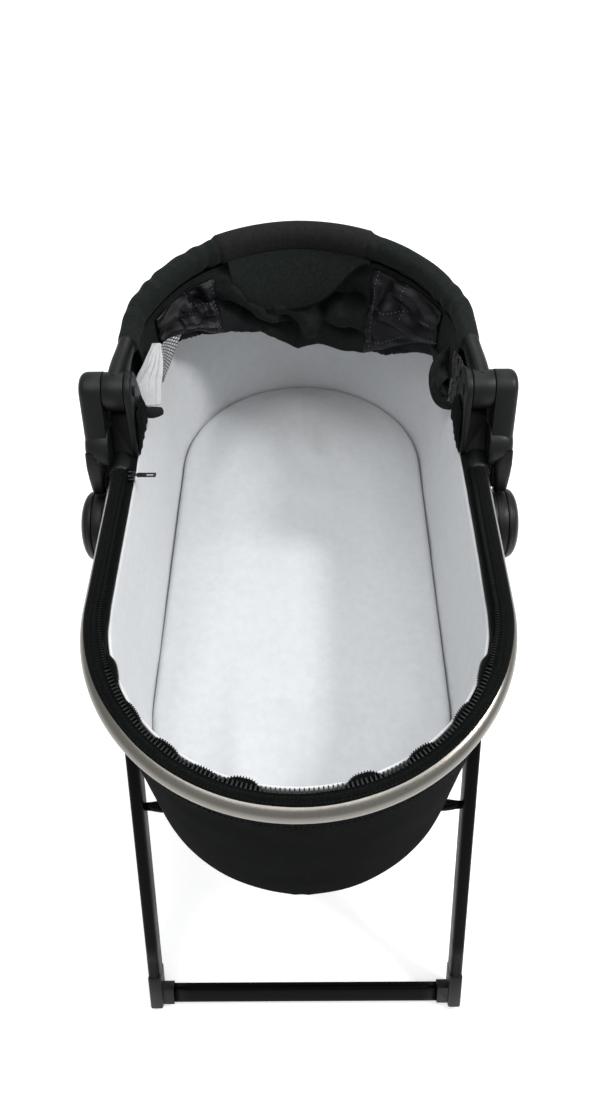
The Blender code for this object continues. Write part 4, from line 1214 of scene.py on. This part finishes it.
def make_lining():
    """Hanging lining with its folds and pits, and the vents on it."""
    grid, x = swag_grid()
    rows = grid.shape[1]
    level = np.linspace(0, 1, rows)[None]
    front = smoothstep((0.6 - level) / 0.08)
    n = normals_of(grid)
    towards = np.array([0.0, -1.0, 0.25])
    n *= np.sign((n * towards).sum(-1, keepdims=True) + 1e-9)
    free = smoothstep(level * 10) * smoothstep((1 - level) * 8)
    relief = lining_relief(grid, x, np.clip(level / 0.5, 0, 1))
    warp = ripple(grid, 12.0, 0.035, 74.0)
    bent = grid + warp[..., None] * np.array([0.7, 0.0, 1.0])
    crossing = ripple(bent * np.array([1.5, 1.0, 1.9]), 15.0, 0.008, 71.0)
    small = ripple(bent * np.array([1.0, 1.0, 1.6]), 36.0, 0.0016, 72.0)
    # The flap covers the lining's middle, where folds would poke through it
    above = smoothstep((grid[..., 2] - 0.752) / 0.015)
    covered = smoothstep((0.085 - np.abs(x)) / 0.02)[:, None] * above
    hem = 1 - 0.75 * smoothstep((level - 0.36) / 0.12) * smoothstep((0.66 - level) / 0.08)
    amount = (relief * front * hem + crossing * (0.4 + 0.6 * hem) + small) * (1 - 0.85 * covered)
    limit = 0.35 + 0.65 * smoothstep((0.17 - np.abs(x)) / 0.03)[:, None]
    grid = grid + n * (amount * free * limit)[..., None]
    make_sheet("hood_lining_cloth", grid, "canopy", 0.0014,
               nodes=["canopy_lining"])
    make_vents(grid, x, n)


def make_vents(grid, x, n):
    """Shiny mesh vents sewn over the lining on both sides, with dashed stitching."""
    rows = grid.shape[1]
    for tag, outer, inner, top in VENTS:
        columns = np.where((x > min(outer, inner)) & (x < max(outer, inner)))[0]
        if tag == "r":
            columns = columns[::-1]
        first, last = int(rows * top), int(rows * 0.515)
        part = grid[columns][:, first:last]
        lean = n[columns][:, first:last]
        level = np.linspace(0, 1, last - first)[None]
        across = np.linspace(0, 1, len(columns))[:, None]
        edge = np.sin(math.pi * across) ** 0.35 * np.sin(math.pi * level) ** 0.5
        warp = ripple(part, 20.0, 0.4, 83.0)
        crease = np.abs(((level * 2.4 + across * 0.8 + warp) % 1.0) - 0.5) * 2
        pull = np.abs(((level * 0.8 - across * 2.3 + warp * 1.6) % 1.0) - 0.5) * 2
        fold = 0.0105 * smoothstep(crease * 1.25) + 0.0075 * smoothstep(pull * 1.2) - 0.003
        fold = fold + ripple(part, 70.0, 0.0016, 81.0)
        part = part + lean * (0.0026 + np.maximum(fold, 0.0) * edge)[..., None]
        make_sheet(f"vent_mesh_{tag}", part, "mesh", 0.0008)
        wide, height = part.shape[:2]
        lines = {"low": part[:, int(height * 0.86)],
                 "middle": part[int(wide * 0.1):, int(height * 0.42)],
                 "inner": part[int(wide * 0.93), :],
                 "rib": part[int(wide * 0.55), :int(height * 0.6)]}
        for label, line in lines.items():
            stitches(f"vent_stitches_{label}_{tag}", line, "thread", 0.0022, 0.003, 0.00032,
                     lift=np.array([0.0, -0.0008, 0.0006]))


def make_visor():
    """D-shaped flap that hangs from the grip over the lining, folded under at its left."""
    points, centre, outward = bow_stations(420)
    keep = np.abs(points[:, 0]) < 0.096
    centre, outward, x = centre[keep], outward[keep], points[keep, 0]
    start = centre - outward * 0.0145 - BOW_UP * 0.009
    length = np.interp(x, FLAP_X, FLAP_LENGTH)
    kernel = np.hanning(31)
    length = np.convolve(np.pad(length, 15, "edge"), kernel / kernel.sum(), "valid")
    left = smoothstep((-x - 0.03) / 0.05)
    rows = 60
    level = np.linspace(0, 1, rows)
    drop = length[:, None] * level[None]
    grid = start[:, None] - UP * drop[..., None]
    bulge = 0.023 * np.sin(math.pi * 0.5 * np.clip(drop / 0.06, 0, 1))
    tuck = 0.006 * left[:, None] * level[None] ** 3
    soft = ripple(grid, 11.0, 0.0026, 91.0) + ripple(grid, 40.0, 0.0005, 92.0)
    forward = bulge - tuck + soft * smoothstep(level * 4)[None]
    grid = grid - outward[:, None] * forward[..., None]
    make_sheet("visor_flap_cloth", grid, "canopy", 0.0018, "canopy",
               ["visor_flap"])
    edge = grid[2:-2, -1]
    hem = sweep("visor_hem", edge, superellipse(0.003, 0.003, 2.0, 10), (0, -1, 0), "tape")
    place(hem, "canopy", "black_fabric")
    inset = grid[6:-6, -7] - outward[6:len(grid) - 6] * 0.0012
    stitches("visor_stitches", inset, "thread_dark", 0.0026, 0.0016, 0.0003, "canopy")


def cloth_from(rows, columns, depth, pleats, seed, sharp=1.0):
    """Smooth grid through rows of points, with hanging folds along X and small noise."""
    lines = [through(list(np.array(row)), columns) for row in rows]
    grid = through(lines, depth).transpose(1, 0, 2)
    across = np.linspace(0, 1, columns)[:, None]
    level = np.linspace(0, 1, depth)[None]
    count, size = pleats
    wave = np.sin(across * 2 * math.pi * count + level * 1.4 + ripple(grid, 25.0, 2.2, seed))
    swell = 0.4 + 0.6 * np.sin(math.pi * (0.1 + 0.8 * level))
    grid[..., 0] += size * np.sign(wave) * np.abs(wave) ** sharp * swell
    grid[..., 0] += ripple(grid, 60.0, 0.0009, seed + 1)
    return grid


def rolled_hem(name, knots, radius):
    """Fat rolled edge through a few points, thin at its ends."""
    line = through(knots, 60)
    circle = np.stack([np.cos(turns(20)), np.sin(turns(20))], -1) * radius
    share = np.linspace(0.04, 0.96, len(line))
    size = (0.45 + 0.55 * np.sin(math.pi * share) ** 0.4) * (1 + ripple(line, 50.0, 0.1, 96.0))
    roll = sweep(name, line, circle[None] * size[:, None, None], UP, "canopy")
    place(roll, "carrycot", "black_fabric")


def make_left_bundle():
    """White inner cloth bunched beside the left arm, with a black rolled hem; its cloth is darkened
    grey as painted shade.
    """
    top = [(-0.169, 0.15, 0.779), (-0.1668, 0.152, 0.778), (-0.1645, 0.154, 0.7765)]
    upper = [(-0.177, 0.12, 0.774), (-0.17, 0.128, 0.772), (-0.163, 0.14, 0.769)]
    middle = [(-0.186, 0.098, 0.762), (-0.174, 0.102, 0.76), (-0.1612, 0.114, 0.756)]
    low = [(-0.184, 0.078, 0.748), (-0.173, 0.08, 0.744), (-0.1622, 0.088, 0.739)]
    grid = cloth_from((top, upper, middle, low), 120, 60, (3.4, 0.0046), 95.0, 0.8)
    grid[..., 0] -= 0.0016
    make_sheet("lining_bundle_white", grid, "white", 0.0014,
               "carrycot")
    hem = [np.array(point) + np.array([0.001, -0.004, -0.006]) for point in low]
    rolled_hem("lining_bundle_hem", hem, 0.0066)


def make_net():
    """Slanting net from the lining's hem down to the liner's wall on the left."""
    top = [(-0.166, 0.156, 0.772), (-0.158, 0.18, 0.764), (-0.1472, 0.198, 0.756)]
    middle = [(-0.164, 0.142, 0.758), (-0.16, 0.157, 0.75), (-0.155, 0.17, 0.745)]
    low = [(-0.1656, 0.128, 0.738), (-0.1648, 0.132, 0.736), (-0.164, 0.135, 0.7345)]
    grid = cloth_from((top, middle, low), 60, 40, (1.4, 0.001), 97.0)
    make_sheet("insect_net_left", grid, "net", 0.0008, "carrycot")


def make_right_loop():
    """Slack black cloth that hangs in a loop beside the right arm, with glossy crinkles."""
    share = np.linspace(0, 1, 90)
    rim = through([(0.18, 0.168, 0.756), (0.1665, 0.159, 0.746), (0.16, 0.148, 0.737),
                   (0.159, 0.133, 0.728), (0.1625, 0.116, 0.721), (0.17, 0.104, 0.7195),
                   (0.18, 0.096, 0.723)], 90)
    crest = through([(0.185, 0.166, 0.764), (0.1745, 0.153, 0.756), (0.169, 0.14, 0.749),
                     (0.1695, 0.126, 0.741), (0.174, 0.114, 0.733), (0.179, 0.107, 0.73),
                     (0.185, 0.102, 0.731)], 90)
    floor = through([(0.19, 0.164, 0.742), (0.183, 0.152, 0.732), (0.18, 0.142, 0.725),
                     (0.18, 0.132, 0.721), (0.182, 0.124, 0.719), (0.185, 0.118, 0.719),
                     (0.189, 0.112, 0.72)], 90)
    back = through([(0.192, 0.156, 0.778), (0.19, 0.146, 0.774), (0.189, 0.134, 0.768),
                    (0.1885, 0.122, 0.76), (0.1885, 0.112, 0.752), (0.189, 0.104, 0.746),
                    (0.1895, 0.098, 0.742)], 90)
    slope = rim * 0.45 + crest * 0.55 + np.array([-0.0014, 0, 0.003])
    grid = through([rim, slope, crest, floor, back], 56).transpose(1, 0, 2)
    grid += ripple(grid, 30.0, 0.0016, 98.0)[..., None] * np.array([0.8, 0.2, 1.0])
    grid[..., 0] += 0.0009 * np.sin(share * 2 * math.pi * 4.5 + ripple(grid, 30.0, 1.4, 97.5).T).T
    make_sheet("lining_loop_right", grid, "canopy", 0.0014,
               "carrycot")
    rolled_hem("lining_loop_hem", rim[::8], 0.0024)
    crinkle = cloth_from((((0.188, 0.088, 0.788), (0.185, 0.112, 0.786), (0.183, 0.134, 0.779)),
                          ((0.1865, 0.08, 0.768), (0.184, 0.098, 0.762), (0.1815, 0.118, 0.756)),
                          ((0.185, 0.076, 0.744), (0.181, 0.086, 0.738), (0.177, 0.098, 0.734))),
                         110, 70, (3.6, 0.0022), 99.0, 0.6)
    crumple = np.abs(ripple(crinkle, 70.0, 1.0, 101.0)) ** 0.6 * 0.004
    crinkle = crinkle - np.stack([crumple, crumple * 0.8, -crumple * 0.3], -1)
    make_sheet("lining_crinkle_right", crinkle, "film", 0.0008,
               "carrycot")


# ---------------------------------------------------------------- stage

def make_stage():
    """Pale floor, soft world light and three lamps."""
    corners = [(x, y, FLOOR_Z) for x, y in ((-7, -7), (7, -7), (7, 9), (-7, 9))]
    make_object("floor", corners, [(0, 1, 2, 3)], "floor", smooth=False)
    world = bpy.data.worlds.new("studio")
    bpy.context.scene.world = world
    world.use_nodes = True
    feed(world.node_tree, world.node_tree.nodes["Background"], Color=(0.98, 0.99, 1.0, 1.0),
         Strength=0.56)
    for name, at, aim, size, power in LAMPS:
        light = bpy.data.lights.new(name, "AREA")
        light.shape = "DISK"
        light.size = size
        light.energy = power
        turn = (Vector(aim) - Vector(at)).to_track_quat("-Z", "Y").to_matrix()
        linked(name, light).matrix_world = Matrix.Translation(at) @ turn.to_4x4()


def make_camera():
    """Camera at the photograph's viewing angle."""
    yaw, pitch, roll = (math.radians(a) for a in CAMERA_TURNS)
    forward = Vector((math.sin(yaw) * math.cos(pitch), math.cos(yaw) * math.cos(pitch),
                      -math.sin(pitch)))
    right = Vector((math.cos(yaw), -math.sin(yaw), 0.0))
    up = right.cross(forward)
    tilted_right = right * math.cos(roll) + up * math.sin(roll)
    tilted_up = up * math.cos(roll) - right * math.sin(roll)
    data = bpy.data.cameras.new("camera")
    data.sensor_fit = "AUTO"
    data.sensor_width = 36.0
    data.lens = CAMERA_LENS
    camera = linked("camera", data)
    turn = Matrix((tilted_right, tilted_up, -forward)).transposed()
    camera.matrix_world = Matrix.Translation(CAMERA_PLACE) @ turn.to_4x4()
    bpy.context.scene.camera = camera


def main():
    dress_hard_parts()
    make_legs_and_bars()
    make_hub_covers()
    make_rim()
    make_shell()
    make_liner()
    make_mattress()
    make_zips()
    make_side_parts()
    make_bow_covers()
    make_back_panel()
    make_lining()
    make_visor()
    make_left_bundle()
    make_net()
    make_right_loop()
    make_stage()
    make_camera()
    bpy.context.scene.view_settings.view_transform = "Standard"


main()
